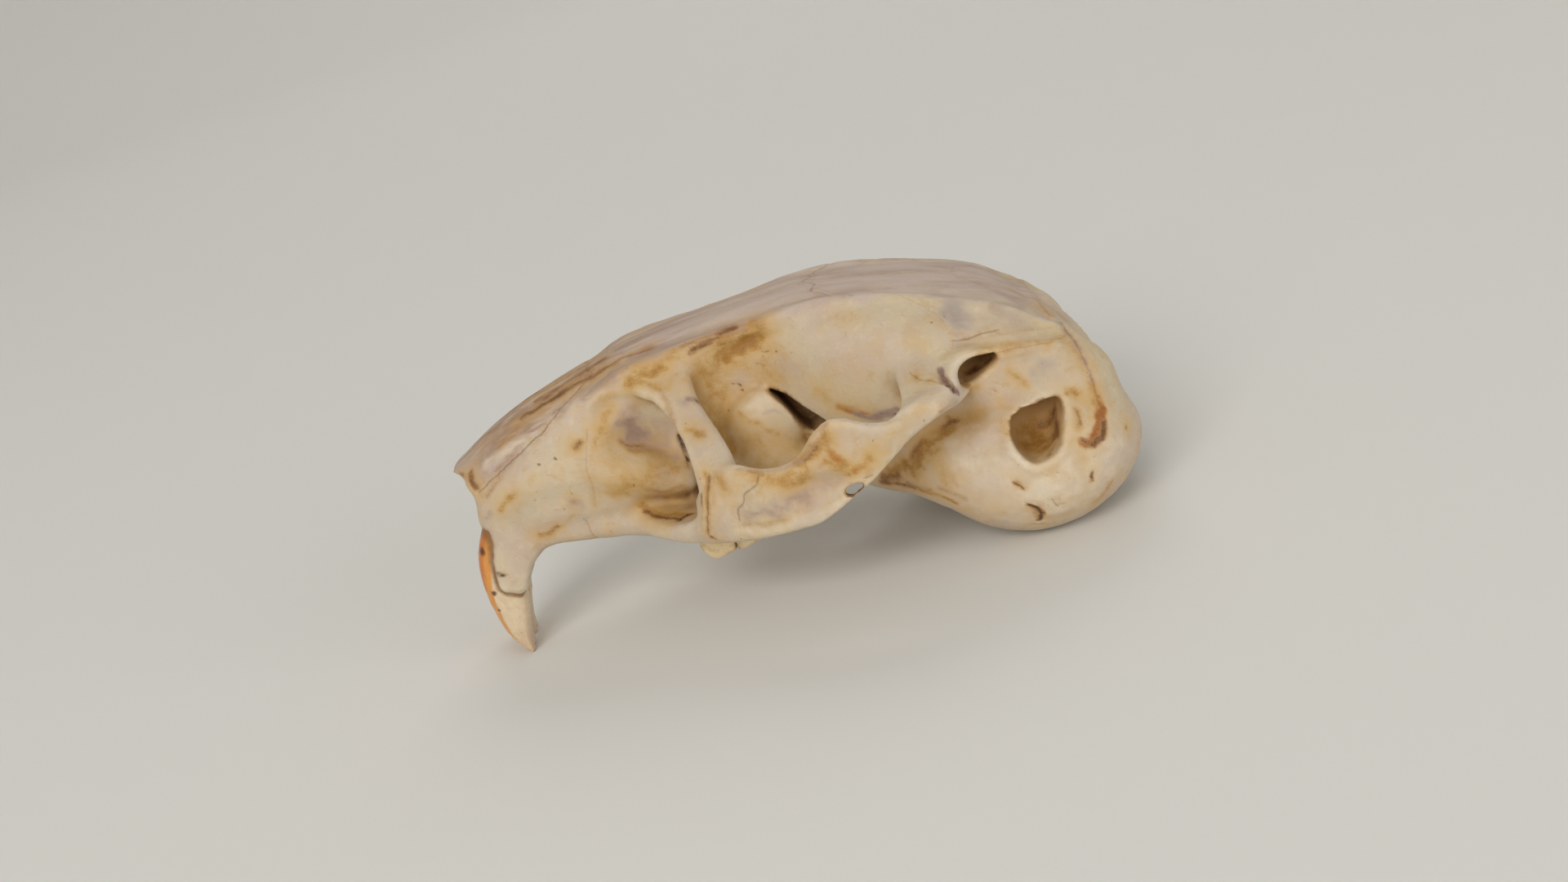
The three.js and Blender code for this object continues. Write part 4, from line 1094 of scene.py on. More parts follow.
# %% Lines across both sides, as seen from above: the roof's
ROOF_LINES = [
    (0.5, 0.8, 0.07, 0.07, [(-19.2, 0.03), (-17.0, -0.05), (-14.0, 0.06), (-11.0, -0.04), (-8.6, 0.05)]),
    (0.8, 0.5, 0.06, 0.03, [(-8.6, 0.05), (-5.0, -0.12), (-1.0, 0.1), (3.0, -0.08), (6.9, 0.1)]),
    (0.5, 0.6, 0.07, 0.05, [(-9.0, -2.5), (-8.6, -1.6), (-8.9, -0.8), (-8.5, 0.0), (-8.8, 0.9), (-8.5, 1.7),
                            (-9.0, 2.5)]),
    (0.5, 0.6, 0.07, 0.05, [(9.2, -5.0), (8.0, -3.7), (7.0, -2.3), (7.4, -1.2), (6.8, 0.1), (7.3, 1.3),
                            (7.1, 2.4), (7.9, 3.7), (9.0, 5.0)]),
    (0.8, 0.45, 0.06, 0.03, [(6.8, 0.1), (10.0, 0.14), (13.0, -0.08), (16.5, 0.1)]),
    (0.8, 0.35, 0.06, 0.03, [(19.6, -4.4), (18.0, -3.0), (16.6, -1.6), (16.3, 0.1), (16.8, 1.7), (18.1, 3.1),
                             (19.5, 4.3)]),
]
print(len(ROOF_LINES), "lines on the roof")

# %% The same for the base
BASE_LINES = [
    (0.5, 0.6, 0.07, 0.05, [(13.7, -2.0), (13.4, -1.0), (13.6, 0.0), (13.5, 1.1), (13.8, 2.0)]),
    (0.5, 0.6, 0.06, 0.05, [(-16.0, 0.05), (-14.5, 0.0), (-13.4, 0.05)]),
    (0.5, 0.5, 0.06, 0.04, [(-9.0, 0.0), (-6.0, 0.06), (-3.0, -0.05), (-1.0, 0.05)]),
    (0.8, 0.6, 0.06, 0.05, [(0.9, -1.9), (-0.3, -1.6), (-1.1, -0.9), (-0.9, 0.0), (-1.2, 0.9), (-0.4, 1.6),
                            (0.8, 1.9)]),
    (0.5, 0.6, 0.08, 0.06, [(9.8, -2.4), (12.5, -2.6), (16.0, -2.5), (19.5, -3.2)]),
    (0.5, 0.6, 0.08, 0.06, [(9.8, 2.4), (12.5, 2.6), (16.0, 2.5), (19.5, 3.2)]),
    (0.8, 0.5, 0.06, 0.05, [(-11.6, -4.2), (-11.2, -3.0), (-11.7, -1.8), (-11.2, -0.8)]),
    (0.8, 0.5, 0.06, 0.05, [(-11.6, 4.2), (-11.3, 3.0), (-11.6, 1.8), (-11.2, 0.8)]),
]
print(len(BASE_LINES), "lines on the base")

# %% Paths laid on the bone
FACING = 0.3
FAVOUR_OUTER = 0.01
ROW_SPACING = 0.8

bone_normals = vertex_normals(bone_points, bone_faces)
bone_tree = BVHTree.FromPolygons(bone_points.tolist(), bone_faces.tolist())


def closer_rows(path):
    """The path with more points, so that each lies on the bone."""
    rows = [path[0]]
    for start, end in zip(path[:-1], path[1:]):
        count = max(1, round(math.dist(start, end) / ROW_SPACING))
        rows += [(start[0] + (end[0] - start[0]) * k / count, start[1] + (end[1] - start[1]) * k / count)
                 for k in range(1, count + 1)]
    return rows


def dropped(path, way):
    """The path's points on the bone: the way is 1 for the roof and -1 for the base."""
    places = bone_points[bone_normals[:, 2] * way > FACING]
    found = []
    for x, y in closer_rows(path):
        away = (places[:, 0] - x) ** 2 + (places[:, 1] - y) ** 2 - FAVOUR_OUTER * way * places[:, 2]
        found.append(places[away.argmin()])
    return found


def seen(path):
    """The path's points on the bone, where the camera sees them."""
    hits = []
    for x, y in path:
        ray = view_right * x + view_up * y - view_back * CAMERA_DISTANCE
        hits.append(bone_tree.ray_cast(eye, ray)[0])
    return [tuple(hit) for hit in hits if hit is not None]


seen_lines = [(*row[:4], seen(row[4])) for row in LINES]
dropped_lines = [(*row[:4], dropped(row[4], way))
                 for way, table in ((1, ROOF_LINES), (-1, BASE_LINES)) for row in table]
print(sum(len(row[4]) for row in seen_lines + dropped_lines), "points of lines on the bone")

# %% Places as the strokes see them
# The right side gets the left side's stains, moved about by slow noise so that the two sides differ
DRIFT = 1.6

wobble = noises(0.9, 1, 2, 3)
ripple = noises(0.38, 11, 12, 13)
right_side = (bone_points[:, 1] > 0)[:, None]
to_left = np.array([1, -1, 1])
drifting = bone_points * to_left + DRIFT * noises(5.0, 4, 5, 6)
left_places = np.where(right_side, drifting, bone_points)
exact_places = np.where(right_side, bone_points * to_left, bone_points)
exact_normals = np.where(right_side, bone_normals * to_left, bone_normals)
print(int(right_side.sum()), "points on the right side")

# %% Masks of the strokes, with ragged edges
RAGGED = 0.4
FRAYED = 0.3
EDGE = 1.45

masks = {"tinge": np.zeros(len(bone_points))}
for name, strokes in STROKES.items():
    mask = np.zeros(len(bone_points))
    for strength, reach, path in strokes:
        away, _, _ = to_path(left_places + reach * (RAGGED * wobble + FRAYED * ripple), seen(path))
        mask = np.maximum(mask, strength * fade(away, 0.0, EDGE * reach))
        if name in TINGED:
            masks["tinge"] = np.maximum(masks["tinge"], strength * fade(away, 0.3 * reach, 1.2 + 2.2 * reach))
    masks[name] = mask
print("strokes cover:", {name: round(float(mask.mean()), 3) for name, mask in masks.items()})

# %% Drawn lines, kept as a signed distance so that they stay thin between points
LINE_LIMIT = 8
LINE_FADE = (0.35, 0.7)
END_FADE = (0.0, 0.2)
GROOVE_REACH = 0.3

line_side = np.full(len(bone_points), 1.0)
line_near = np.zeros(len(bone_points))
line_best = np.full(len(bone_points), 1e9)
line_tone = np.zeros(len(bone_points))
groove = np.zeros(len(bone_points))
for places, normals, table in ((exact_places, exact_normals, seen_lines),
                               (bone_points, bone_normals, dropped_lines)):
    for tone_share, strength, half_width, depth, path in table:
        wavy = places + 0.1 * wobble + 0.05 * ripple
        away, foot, way = to_path(wavy, path)
        side = np.sign(np.einsum("ij,ij->i", np.cross(way, normals), wavy - foot))
        from_ends = [np.linalg.norm(foot - end, axis=1) for end in (path[0], path[-1])]
        at_end = np.minimum(*from_ends) < 1e-6
        near = strength * np.where(at_end, fade(away, *END_FADE), fade(away, *LINE_FADE))
        closer = away / half_width < line_best
        line_best[closer] = (away / half_width)[closer]
        line_side[closer] = (side * away / half_width)[closer]
        line_near[closer] = near[closer]
        line_tone[closer] = tone_share
        groove = np.maximum(groove, depth * fade(away, 0, GROOVE_REACH))
masks["line_side"] = np.clip(line_side, -LINE_LIMIT, LINE_LIMIT)
masks["line_near"] = line_near
masks["line_tone"] = line_tone
print("lines touch", int((line_near > 0).sum()), "points")

# %% Pits
SOFT_RIM = 0.07

pit = np.zeros(len(bone_points))
pit_depth = np.zeros(len(bone_points))
for radius, depth, place in PITS:
    away = np.linalg.norm(exact_places - seen([place])[0], axis=1)
    pit = np.maximum(pit, fade(away, 0.4 * radius, SOFT_RIM + 1.15 * radius))
    pit_depth = np.maximum(pit_depth, depth * fade(away, 0.3 * radius, SOFT_RIM + 1.1 * radius))
masks["pit"] = pit
print("pits touch", int((pit > 0).sum()), "points")

# %% [markdown]
# ## Hollows and edges
# Hollows are painted darker in dust colours, partly as dust and partly as painted shade, and edges are painted
# paler, partly as rubbing and partly as painted highlight. Light could be traced for this, but the clay still
# knows its distances: a short way out along the normal, they tell how open a place is.

# %% How open each place is
OPEN_REACHES = (0.5, 1.0, 2.0, 4.0)

whole_field = clay.whole()
field_low = np.array([axis[0] for axis in clay.axes])


def field_at(points):
    """The clay's distances at any points, from the eight cells around each."""
    place = (points - field_low) / clay.step
    place = np.clip(place, 0, np.array(whole_field.shape) - 1.001)
    cell = place.astype(int)
    return between_corners(cell, place - cell, lambda corner: whole_field[tuple(corner.T)])


closed = sum(1 - np.clip(field_at(bone_points + reach * bone_normals) / reach, 0, 1)
             for reach in OPEN_REACHES)
masks["hollow"] = closed / len(OPEN_REACHES)
print("hollow on average:", round(float(masks["hollow"].mean()), 3))

# %% Dirt and painted shade where the teeth leave the bone
beside = (bone_points[:, 0], -np.abs(bone_points[:, 1]), bone_points[:, 2])
masks["gum"] = fade(np.min([form.distance(*beside) for form in tooth_forms], axis=0), 0.06, 0.3)
incisor_gum = fade(field_at(incisor_points), 0.06, 0.34)
print("dirty beside the teeth:", int((masks["gum"] > 0).sum()), "points")

# %% Worn edges with painted highlight, and dirty creases with painted shade, from how the surface curves
def curving(points, faces, normals, rounds):
    """How far each point stands out of its surroundings, in tenths of a millimetre."""
    edges, counts = neighbours(len(points), faces)
    around = points
    for _ in range(rounds):
        around = average(around, edges, counts)
    standing = np.einsum("ij,ij->i", points - around, normals)[:, None]
    for _ in range(2):
        standing = 0.5 * (standing + average(standing, edges, counts))
    return 10 * standing[:, 0]


masks["curve"] = np.clip(curving(bone_points, bone_faces, bone_normals, 6), -3, 3)
print("curve:", np.percentile(masks["curve"], [1, 10, 50, 90, 99]).round(2))

# %% The roof, which is greyer than the sides
ROOF_EDGE = smooth_curve([-19.5, -16.9, -13.5, -10.0, -6.2, -2.0, 3.0, 8.0, 12.0, 16.0, 19.0, 21.5],
                         [12.6, 12.9, 14.9, 16.3, 17.3, 17.65, 17.95, 17.95, 17.3, 16.0, 14.6, 12.6])
masks["snout"] = fade(bone_points[:, 0], -13.0, 5.0) * (1 - 0.7 * fade(bone_points[:, 0], -18.2, -15.5))
masks["roof"] = fade(ROOF_EDGE(bone_points[:, 0]) - bone_points[:, 2] + 0.3 * wobble[:, 0], -0.25, 0.35)
print("roof's share:", round(float(masks["roof"].mean()), 3))

# %% Press the relief in and make the cranium
uneven = 0.07 * noise(bone_points, 5.0, 9) + 0.045 * noise(bone_points, 2.4, 7)
uneven = uneven + 0.02 * noise(bone_points, 1.0, 8)
relief = uneven - groove - pit_depth
bone_points = bone_points + relief[:, None] * bone_normals
cranium = mesh_object("cranium_bone", bone_points, bone_faces)
for name, mask in masks.items():
    mark(cranium.data, name, mask)
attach(cranium, "root")
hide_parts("cranium")
print("relief:", round(float(relief.min()), 2), "to", round(float(relief.max()), 2), "mm")

# %% Where the enamel's front is, and its dark spots
ENAMEL_FRONT = smooth_curve([0.0, 1.06, 2.0, 3.84, 4.92, 6.31, 7.62, 8.61, 11.0, 12.2],
                            [-18.2, -18.96, -19.47, -19.78, -19.85, -19.65, -19.36, -18.85, -17.4, -15.6])
INCISOR_SPOTS = [(-19.04, 8.02, 0.3), (-18.45, 6.05, 0.22), (-19.2, 5.02, 0.14), (-19.28, 3.74, 0.13)]
OUTER_SIDE = -2.2

incisor_front = -vertex_normals(incisor_points, incisor_faces)[:, 0]
incisor_spot = np.zeros(len(incisor_points))
for x, z, radius in INCISOR_SPOTS:
    away = np.hypot(incisor_points[:, 0] - x, incisor_points[:, 2] - z)
    away = away + 3 * (incisor_points[:, 1] > OUTER_SIDE) + 0.1 * noise(incisor_points, 0.3, 31)
    incisor_spot = np.maximum(incisor_spot, fade(away, 0.3 * radius, 1.2 * radius))
print("spots touch", int((incisor_spot > 0).sum()), "points of an incisor")


# %% The incisors, left and mirrored
def incisor_object(name, points, faces):
    """An incisor that knows how far each point lies behind the enamel's front, its height, gum and spots."""
    made = mesh_object(name, points, faces)
    mark(made.data, "behind", points[:, 0] - ENAMEL_FRONT(points[:, 2]))
    mark(made.data, "height", points[:, 2])
    mark(made.data, "gum", incisor_gum)
    mark(made.data, "spot", incisor_spot)
    mark(made.data, "front", incisor_front)
    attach(made, "root")
    return made


incisor_left = incisor_object("incisor_left_enamel", incisor_points, incisor_faces)
incisor_right = incisor_object("incisor_right_enamel", incisor_points * [1, -1, 1], incisor_faces[:, ::-1])
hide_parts("incisor_left")
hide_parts("incisor_right")
print("incisors:", incisor_left.name, "and", incisor_right.name)

# %% [markdown]
# ## Shader maths as expressions
# Materials are built from nodes. A small class lets a node's output be used like a number in Python,
# so a sum is written as a sum and adds its Math nodes by itself.


# %% Node helpers
class Value:
    """A node's output that can be used in sums like a number."""

    def __init__(self, nodes, socket):
        self.nodes = nodes
        self.socket = socket

    def maths(self, operation, first, second=None):
        return self.nodes.add("ShaderNodeMath", {"operation": operation}, {0: first, 1: second})

    def __add__(self, other):
        return self.maths("ADD", self, other)

    def __sub__(self, other):
        return self.maths("SUBTRACT", self, other)

    def __rsub__(self, other):
        return self.maths("SUBTRACT", other, self)

    def __mul__(self, other):
        return self.maths("MULTIPLY", self, other)

    def __truediv__(self, other):
        return self.maths("DIVIDE", self, other)

    def __rtruediv__(self, other):
        return self.maths("DIVIDE", other, self)

    def __pow__(self, other):
        return self.maths("POWER", self, other)

    def __abs__(self):
        return self.maths("ABSOLUTE", self)

    def least(self, other):
        return self.maths("MINIMUM", self, other)

    def most(self, other):
        return self.maths("MAXIMUM", self, other)

    __radd__ = __add__
    __rmul__ = __mul__


class Nodes:
    """A node tree that grows by one method."""

    def __init__(self, tree):
        self.tree = tree
        tree.nodes.clear()

    def add(self, kind, settings=None, inputs=None, output=0):
        """A new node of this kind: its settings first, then the values or links of its sockets."""
        node = self.tree.nodes.new(kind)
        for name, value in (settings or {}).items():
            setattr(node, name, value)
        for name, value in (inputs or {}).items():
            if isinstance(value, Value):
                self.tree.links.new(value.socket, node.inputs[name])
            elif value is not None:
                node.inputs[name].default_value = value
        return Value(self, node.outputs[output]) if len(node.outputs) else node


# %% Helpers that only materials need
class Paint(Nodes):
    """The node tree of one material, with the object's own coordinates in metres."""

    def __init__(self, name):
        self.material = bpy.data.materials.new(name)
        self.material.use_nodes = True
        super().__init__(self.material.node_tree)
        self.place = self.add("ShaderNodeTexCoord", output="Object")

    def attribute(self, name):
        return self.add("ShaderNodeAttribute", {"attribute_name": name}, output="Fac")

    def stretched(self, x, y, z):
        """The place with its axes stretched, for streaks."""
        return self.add("ShaderNodeVectorMath", {"operation": "MULTIPLY"}, {0: self.place, 1: (x, y, z)})

    def noise(self, size, detail=3.0, roughness=0.55, place=None, distortion=0.0):
        """Noise from 0 to 1 that changes over about this size in millimetres."""
        inputs = {"Vector": place or self.place, "Scale": 1 / (size * METRES), "Detail": detail,
                  "Roughness": roughness, "Distortion": distortion}
        return self.add("ShaderNodeTexNoise", {}, inputs)

    def step(self, value, low, high):
        """0 below low, 1 above high, smooth between."""
        return self.add("ShaderNodeMapRange", {"interpolation_type": "SMOOTHSTEP"},
                        {"Value": value, "From Min": low, "From Max": high})

    def mix(self, share, under, over):
        """Two colours mixed. A colour is a Value or (red, green, blue)."""
        colours = [colour if isinstance(colour, Value) else (*colour, 1) for colour in (under, over)]
        inputs = {0: share, 6: colours[0], 7: colours[1]}
        return self.add("ShaderNodeMix", {"data_type": "RGBA"}, inputs, output=2)

    def finish(self, colour, roughness, height, depth, **constants):
        """The surface shader: colour, roughness and a bump whose full height is depth millimetres."""
        bump = {"Height": height, "Distance": depth * METRES, "Strength": 1.0}
        normal = self.add("ShaderNodeBump", {}, bump)
        inputs = {"Base Color": colour, "Roughness": roughness, "Normal": normal}
        inputs.update({name.replace("_", " "): value for name, value in constants.items()})
        surface = self.add("ShaderNodeBsdfPrincipled", {}, inputs)
        self.add("ShaderNodeOutputMaterial", {}, {"Surface": surface})
        return self.material


def tone(red, green, blue):
    """A colour given as a painter would read it off a screen, 0 to 255, as light."""
    return tuple(((c / 255 + 0.055) / 1.055) ** 2.4 if c > 10 else c / 255 / 12.92
                 for c in (red, green, blue))


# %% [markdown]
# ## One tree for eight cheek teeth
# The tree starts from a filled circle, pulls it into a bean, and extrudes it again and again.
# Each extrusion adds a ring: first the walls, then the rounded enamel rim, then the worn hollow inside it.

# %% Build the tooth tree
TOOTH_INPUTS = {"Half Length": 1.1, "Half Width": 1.35, "Height": TOOTH_HEIGHT, "Dent": TOOTH_DENT}
WALL_RINGS = 6
CIRCLE_CORNERS = 56
# Each ring of the crown: how far it rises and how much it shrinks
CROWN_RINGS = [(0.05, 0.985), (0.04, 0.97), (0.02, 0.955), (0.0, 0.95), (-0.04, 0.96), (-0.08, 0.97),
               (-0.08, 0.95), (-0.05, 0.85), (-0.02, 0.7), (0.03, 0.5)]

tooth_tree = bpy.data.node_groups.new("cheek tooth", "GeometryNodeTree")
for name, value in TOOTH_INPUTS.items():
    tooth_tree.interface.new_socket(name, in_out="INPUT", socket_type="NodeSocketFloat").default_value = value
tooth_tree.interface.new_socket("Material", in_out="INPUT", socket_type="NodeSocketMaterial")
tooth_tree.interface.new_socket("Geometry", in_out="OUTPUT", socket_type="NodeSocketGeometry")
nodes = Nodes(tooth_tree)
given = {name: nodes.add("NodeGroupInput", output=name) for name in [*TOOTH_INPUTS, "Material"]}

print("inputs:", list(given))

# %% Its outline and rings
position = nodes.add("GeometryNodeInputPosition")
across, along = [nodes.add("ShaderNodeSeparateXYZ", {}, {0: position}, output=axis) for axis in "YX"]
dent = given["Dent"] * (0 - across).most(0) ** 3
bean_place = nodes.add("ShaderNodeCombineXYZ", {}, {"X": along * given["Half Length"],
                                                    "Y": (across + dent) * given["Half Width"]})
circle = nodes.add("GeometryNodeMeshCircle", {"fill_type": "NGON"},
                   {"Vertices": CIRCLE_CORNERS, "Radius": 1.0})
outline = nodes.add("GeometryNodeSetPosition", {}, {"Geometry": circle, "Position": bean_place})

crown, top = outline, None
wall = given["Height"] / WALL_RINGS
for rise, size in [(wall, 1.0)] * WALL_RINGS + CROWN_RINGS:
    rising = {"Mesh": crown, "Offset": (0, 0, -1), "Offset Scale": rise, "Individual": False}
    if top is not None:
        rising["Selection"] = top
    crown = nodes.add("GeometryNodeExtrudeMesh", {"mode": "FACES"}, rising)
    top = Value(nodes, crown.socket.node.outputs["Top"])
    crown = nodes.add("GeometryNodeScaleElements", {"domain": "FACE"},
                      {"Geometry": crown, "Selection": top, "Scale": size})

closed_tooth = nodes.add("GeometryNodeJoinGeometry")
for part in (crown, outline):
    tooth_tree.links.new(part.socket, closed_tooth.socket.node.inputs[0])
closed_tooth = nodes.add("GeometryNodeMergeByDistance", {}, {"Geometry": closed_tooth})
closed_tooth = nodes.add("GeometryNodeSetShadeSmooth", {}, {"Geometry": closed_tooth})
closed_tooth = nodes.add("GeometryNodeRealizeInstances", {}, {"Geometry": closed_tooth})
closed_tooth = nodes.add("GeometryNodeSetMaterial", {},
                         {"Geometry": closed_tooth, "Material": given["Material"]})
nodes.add("NodeGroupOutput", {}, {"Geometry": closed_tooth})
tooth_socket = {item.name: item.identifier for item in tooth_tree.interface.items_tree
                if item.in_out == "INPUT"}
print("tooth tree:", len(tooth_tree.nodes), "nodes")


# %% Finish one tooth
# The height of the row's chewing faces at some places along x
CHEWING_HEIGHT = smooth_curve([-5.3, -4.9, -4.4, -3.3, -1.6, -0.4, 1.0, 2.8],
                              [4.5, 3.85, 3.25, 3.25, 3.45, 3.95, 4.6, 5.2])


def cheek_tooth(name, number, side):
    """One cheek tooth: side is 1 on the left and -1 on the right."""
    x, y, low, half_length, half_width = CHEEK_TEETH[number]
    made = placed(name, bpy.data.meshes.new(name))
    modifier = made.modifiers.new("tooth", "NODES")
    modifier.node_group = tooth_tree
    sizes = {**TOOTH_INPUTS, "Half Length": half_length, "Half Width": half_width}
    for key, value in sizes.items():
        modifier[tooth_socket[key]] = value
    modifier[tooth_socket["Material"]] = TOOTH_PAINT
    mesh = bpy.data.meshes.new_from_object(made.evaluated_get(bpy.context.evaluated_depsgraph_get()))
    made.modifiers.clear()
    made.data = mesh
    points = np.array([vertex.co for vertex in mesh.vertices])
    chew = points[:, 2].min()
    points[:, 2] += low - chew
    along, across = points[:, 0] / half_length, points[:, 1] / half_width
    points[:, 1] += y - TOOTH_LEAN * (points[:, 2] - low)
    points[:, 0] += x
    points[:, 2] += (CHEWING_HEIGHT(points[:, 0]) - low) * fade(points[:, 2] - low, 0.4, 2.4)
    points[:, :] += 0.02 * np.stack([noise(points + 9 * number, 0.7, seed) for seed in (21, 22, 23)], axis=1)
    mesh.vertices.foreach_set("co", to_frame(points * [1, side, 1]).ravel())
    mesh.update()
    out = np.maximum(-across, 0) / np.maximum(np.hypot(along, across), 1e-6)
    share = np.hypot(along, across / (1 - TOOTH_DENT * out**2))
    worn = fade(share, 0.7, 0.84) * fade(points[:, 2] - CHEWING_HEIGHT(points[:, 0]), 0.15, 0.4)
    mark(mesh, "worn", worn)
    return made


print("chewing faces from", round(float(CHEWING_HEIGHT(-3.3)), 2), "mm above the table")

# %% [markdown]
# ## Paints
# Dry bone is matte and a little see-through, so light softens in it; the constant subsurface share does that.
# One flat cream would look like plaster. The bone is built up in layers: a cream base, slow drifts of yellow
# and mauve, paler edges and darker creases that are partly wear and dirt and partly painted highlight and
# shade, the grey roof, dust colours in the hollows that are partly dirt and partly painted shade, then the
# drawn stains with edges broken up by fine noise; some pale stains are painted highlights and some violet,
# brown and dark ones are painted shade.

# %% Tones of the bone
CREAM = tone(207, 190, 159)
COOL_CREAM = tone(203, 184, 162)
YELLOWED = tone(208, 174, 118)
MAUVE = tone(190, 169, 156)
RUBBED = tone(230, 214, 188)
# The next two tones are partly painted light: convex edges paler as wear and painted highlight, concave
# creases darker as dirt and painted shade
FLECKED = tone(190, 154, 108)
WORN_EDGE_AND_HIGHLIGHT = tone(236, 222, 198)
CREASE_SHADE_AND_DIRT = tone(168, 122, 68)
ROOF_GREY = tone(194, 173, 163)
SNOUT_BROWN = tone(140, 106, 84)
ROOF_STREAK = tone(166, 140, 126)
ROOF_PALE = tone(212, 195, 182)
# The next three tones are dust and dirt colours painted into the hollows, where they also stand for painted
# shade
DUST_AND_SHADE = tone(186, 150, 96)
DIRT_AND_SHADE = tone(148, 104, 54)
DEEP_SHADE_AND_DIRT = tone(84, 56, 34)
# Dirt and painted shade along the line where a tooth leaves the bone
DIRT_AND_SHADE_BY_THE_TEETH = tone(146, 104, 60)
TINGE = tone(206, 170, 112)
LINE_RIM = tone(176, 132, 80)
DARK_LINE = tone(92, 52, 26)
LIGHT_LINE = tone(152, 112, 80)
PIT_BROWN = tone(116, 78, 44)
SPECK_BROWN = tone(120, 82, 48)
print(22, "tones")

# %% Bone: cream and its drifts, edges with painted highlight, creases with painted shade, the roof, dust colours and painted shade in the hollows
paint = Paint("bone")
slow = paint.noise(7.0, 2.0)
middle = paint.noise(2.2, 3.0, distortion=0.4)
quick = paint.noise(0.55, 4.0, 0.6)
grain = paint.noise(0.14, 3.0, 0.6)
streak = paint.noise(1.0, 3.0, 0.6, place=paint.stretched(0.16, 1.0, 1.0), distortion=0.3)

colour = paint.mix(paint.step(slow, 0.38, 0.62), CREAM, COOL_CREAM)
colour = paint.mix(paint.step(middle, 0.48, 0.72) * 0.5, colour, YELLOWED)
cloud = paint.noise(4.2, 3.0, distortion=0.5)
colour = paint.mix(paint.step(cloud, 0.48, 0.68) * 0.5, colour, MAUVE)
colour = paint.mix(paint.step(quick, 0.5, 0.75) * 0.3, colour, RUBBED)
fleck = paint.noise(0.8, 4.0, 0.65, distortion=0.6)
colour = paint.mix(paint.step(fleck, 0.54, 0.72) * (0.25 + 0.35 * slow), colour, FLECKED)
curve = paint.attribute("curve")
# Convex edges painted paler as wear and painted highlight, concave creases darker as dirt and painted shade
colour = paint.mix(paint.step(curve, 0.25, 1.3) * 0.5, colour, WORN_EDGE_AND_HIGHLIGHT)
colour = paint.mix(paint.step(curve + 0.8 * (quick - 0.5), -0.15, -1.2) * 0.7, colour, CREASE_SHADE_AND_DIRT)
roof = paint.attribute("roof")
colour = paint.mix(roof * (0.55 + 0.35 * streak), colour, ROOF_GREY)
snout = paint.attribute("snout")
colour = paint.mix(roof * snout * paint.step(streak, 0.34, 0.6) * 0.85, colour, SNOUT_BROWN)
long_streak = paint.noise(1.6, 4.0, 0.6, place=paint.stretched(0.1, 1.0, 1.0), distortion=0.2)
colour = paint.mix(roof * paint.step(long_streak, 0.42, 0.7) * 0.55, colour, ROOF_STREAK)
colour = paint.mix(roof * paint.step(long_streak, 0.5, 0.3) * 0.4, colour, ROOF_PALE)
hollow = paint.attribute("hollow")
# The hollows are painted darker: dust colours that are partly dirt and partly painted shade
dusty_and_shaded = hollow + 0.3 * (quick - 0.5) + 0.4 * (middle - 0.5)
colour = paint.mix(paint.step(dusty_and_shaded, 0.08, 0.5) * 0.55, colour, DUST_AND_SHADE)
dirty_and_shaded = hollow + 0.35 * (quick - 0.5) + 0.4 * (middle - 0.5)
colour = paint.mix(paint.step(dirty_and_shaded, 0.2, 0.75) * 0.8, colour, DIRT_AND_SHADE)
colour = paint.mix(paint.step(hollow + 0.2 * (quick - 0.5), 0.5, 0.95) * 0.8, colour, DEEP_SHADE_AND_DIRT)
rough = 0.7 * quick + 0.3 * grain
rough = rough + roof * (streak - rough)
gum = paint.attribute("gum")
# A dark line where the teeth leave the bone: dirt and painted shade
colour = paint.mix((gum * (0.4 + 0.8 * quick)).least(0.85), colour, DIRT_AND_SHADE_BY_THE_TEETH)
tinge = paint.attribute("tinge")
colour = paint.mix(paint.step(tinge * (0.4 + 0.7 * middle + 0.5 * quick), 0.1, 0.9) * 0.6, colour, TINGE)
print("bone under its stains:", len(paint.tree.nodes), "nodes")

# %% Bone: the stains, from pale to dark
# Each stain: its mask, the tones of its rim and middle, its greatest share and how ragged it is
# The pale stain also paints highlights, and the violet, brown and dark stains also paint shade
STAINS = [
    ("pale", (230, 214, 190), (238, 226, 206), 0.7, 0.6),
    ("grey", (178, 166, 154), (164, 152, 144), 0.7, 0.4),
    ("ochre", (196, 154, 84), (158, 110, 44), 0.9, 1.2),
    ("orange", (190, 136, 70), (152, 88, 36), 0.9, 1.2),
    ("violet", (176, 150, 136), (134, 110, 100), 0.75, 0.5),
    ("brown", (174, 128, 76), (104, 66, 36), 0.9, 1.2),
    ("dark", (112, 76, 46), (44, 30, 22), 0.95, 1.1),
]
for name, rim, middle_tone, most, broken in STAINS:
    share = paint.attribute(name)
    rag = share * (1 - 0.5 * broken + broken * rough)
    colour = paint.mix(paint.step(rag, 0.05, 0.85) * most, colour, tone(*rim))
    colour = paint.mix(paint.step(rag + 0.15 * (grain - 0.5), 0.42, 0.98) * most, colour, tone(*middle_tone))
print("bone with its stains:", len(paint.tree.nodes), "nodes")

# %% Bone: lines, pits and specks
near = paint.attribute("line_near")
thin = paint.step(abs(paint.attribute("line_side") + 1.2 * (grain - 0.5)), 1.8, 0.1)
line_colour = paint.mix(paint.attribute("line_tone"), DARK_LINE, LIGHT_LINE)
colour = paint.mix(near * paint.step(quick, 0.35, 0.7) * 0.5, colour, LINE_RIM)
colour = paint.mix(thin * near * (0.1 + 1.0 * quick).least(0.75), colour, line_colour)
pit = paint.attribute("pit")
colour = paint.mix(paint.step(pit, 0.25, 0.9) * 0.8, colour, PIT_BROWN)
speck = paint.step(paint.noise(0.32, 2.0, 0.5), 0.735, 0.78) * paint.step(middle, 0.45, 0.6)
colour = paint.mix(speck * 0.55, colour, SPECK_BROWN)
shine = 0.5 + 0.22 * middle + 0.12 * quick
height = 0.6 * quick + 0.4 * grain - 0.5 * thin * near - 0.6 * speck
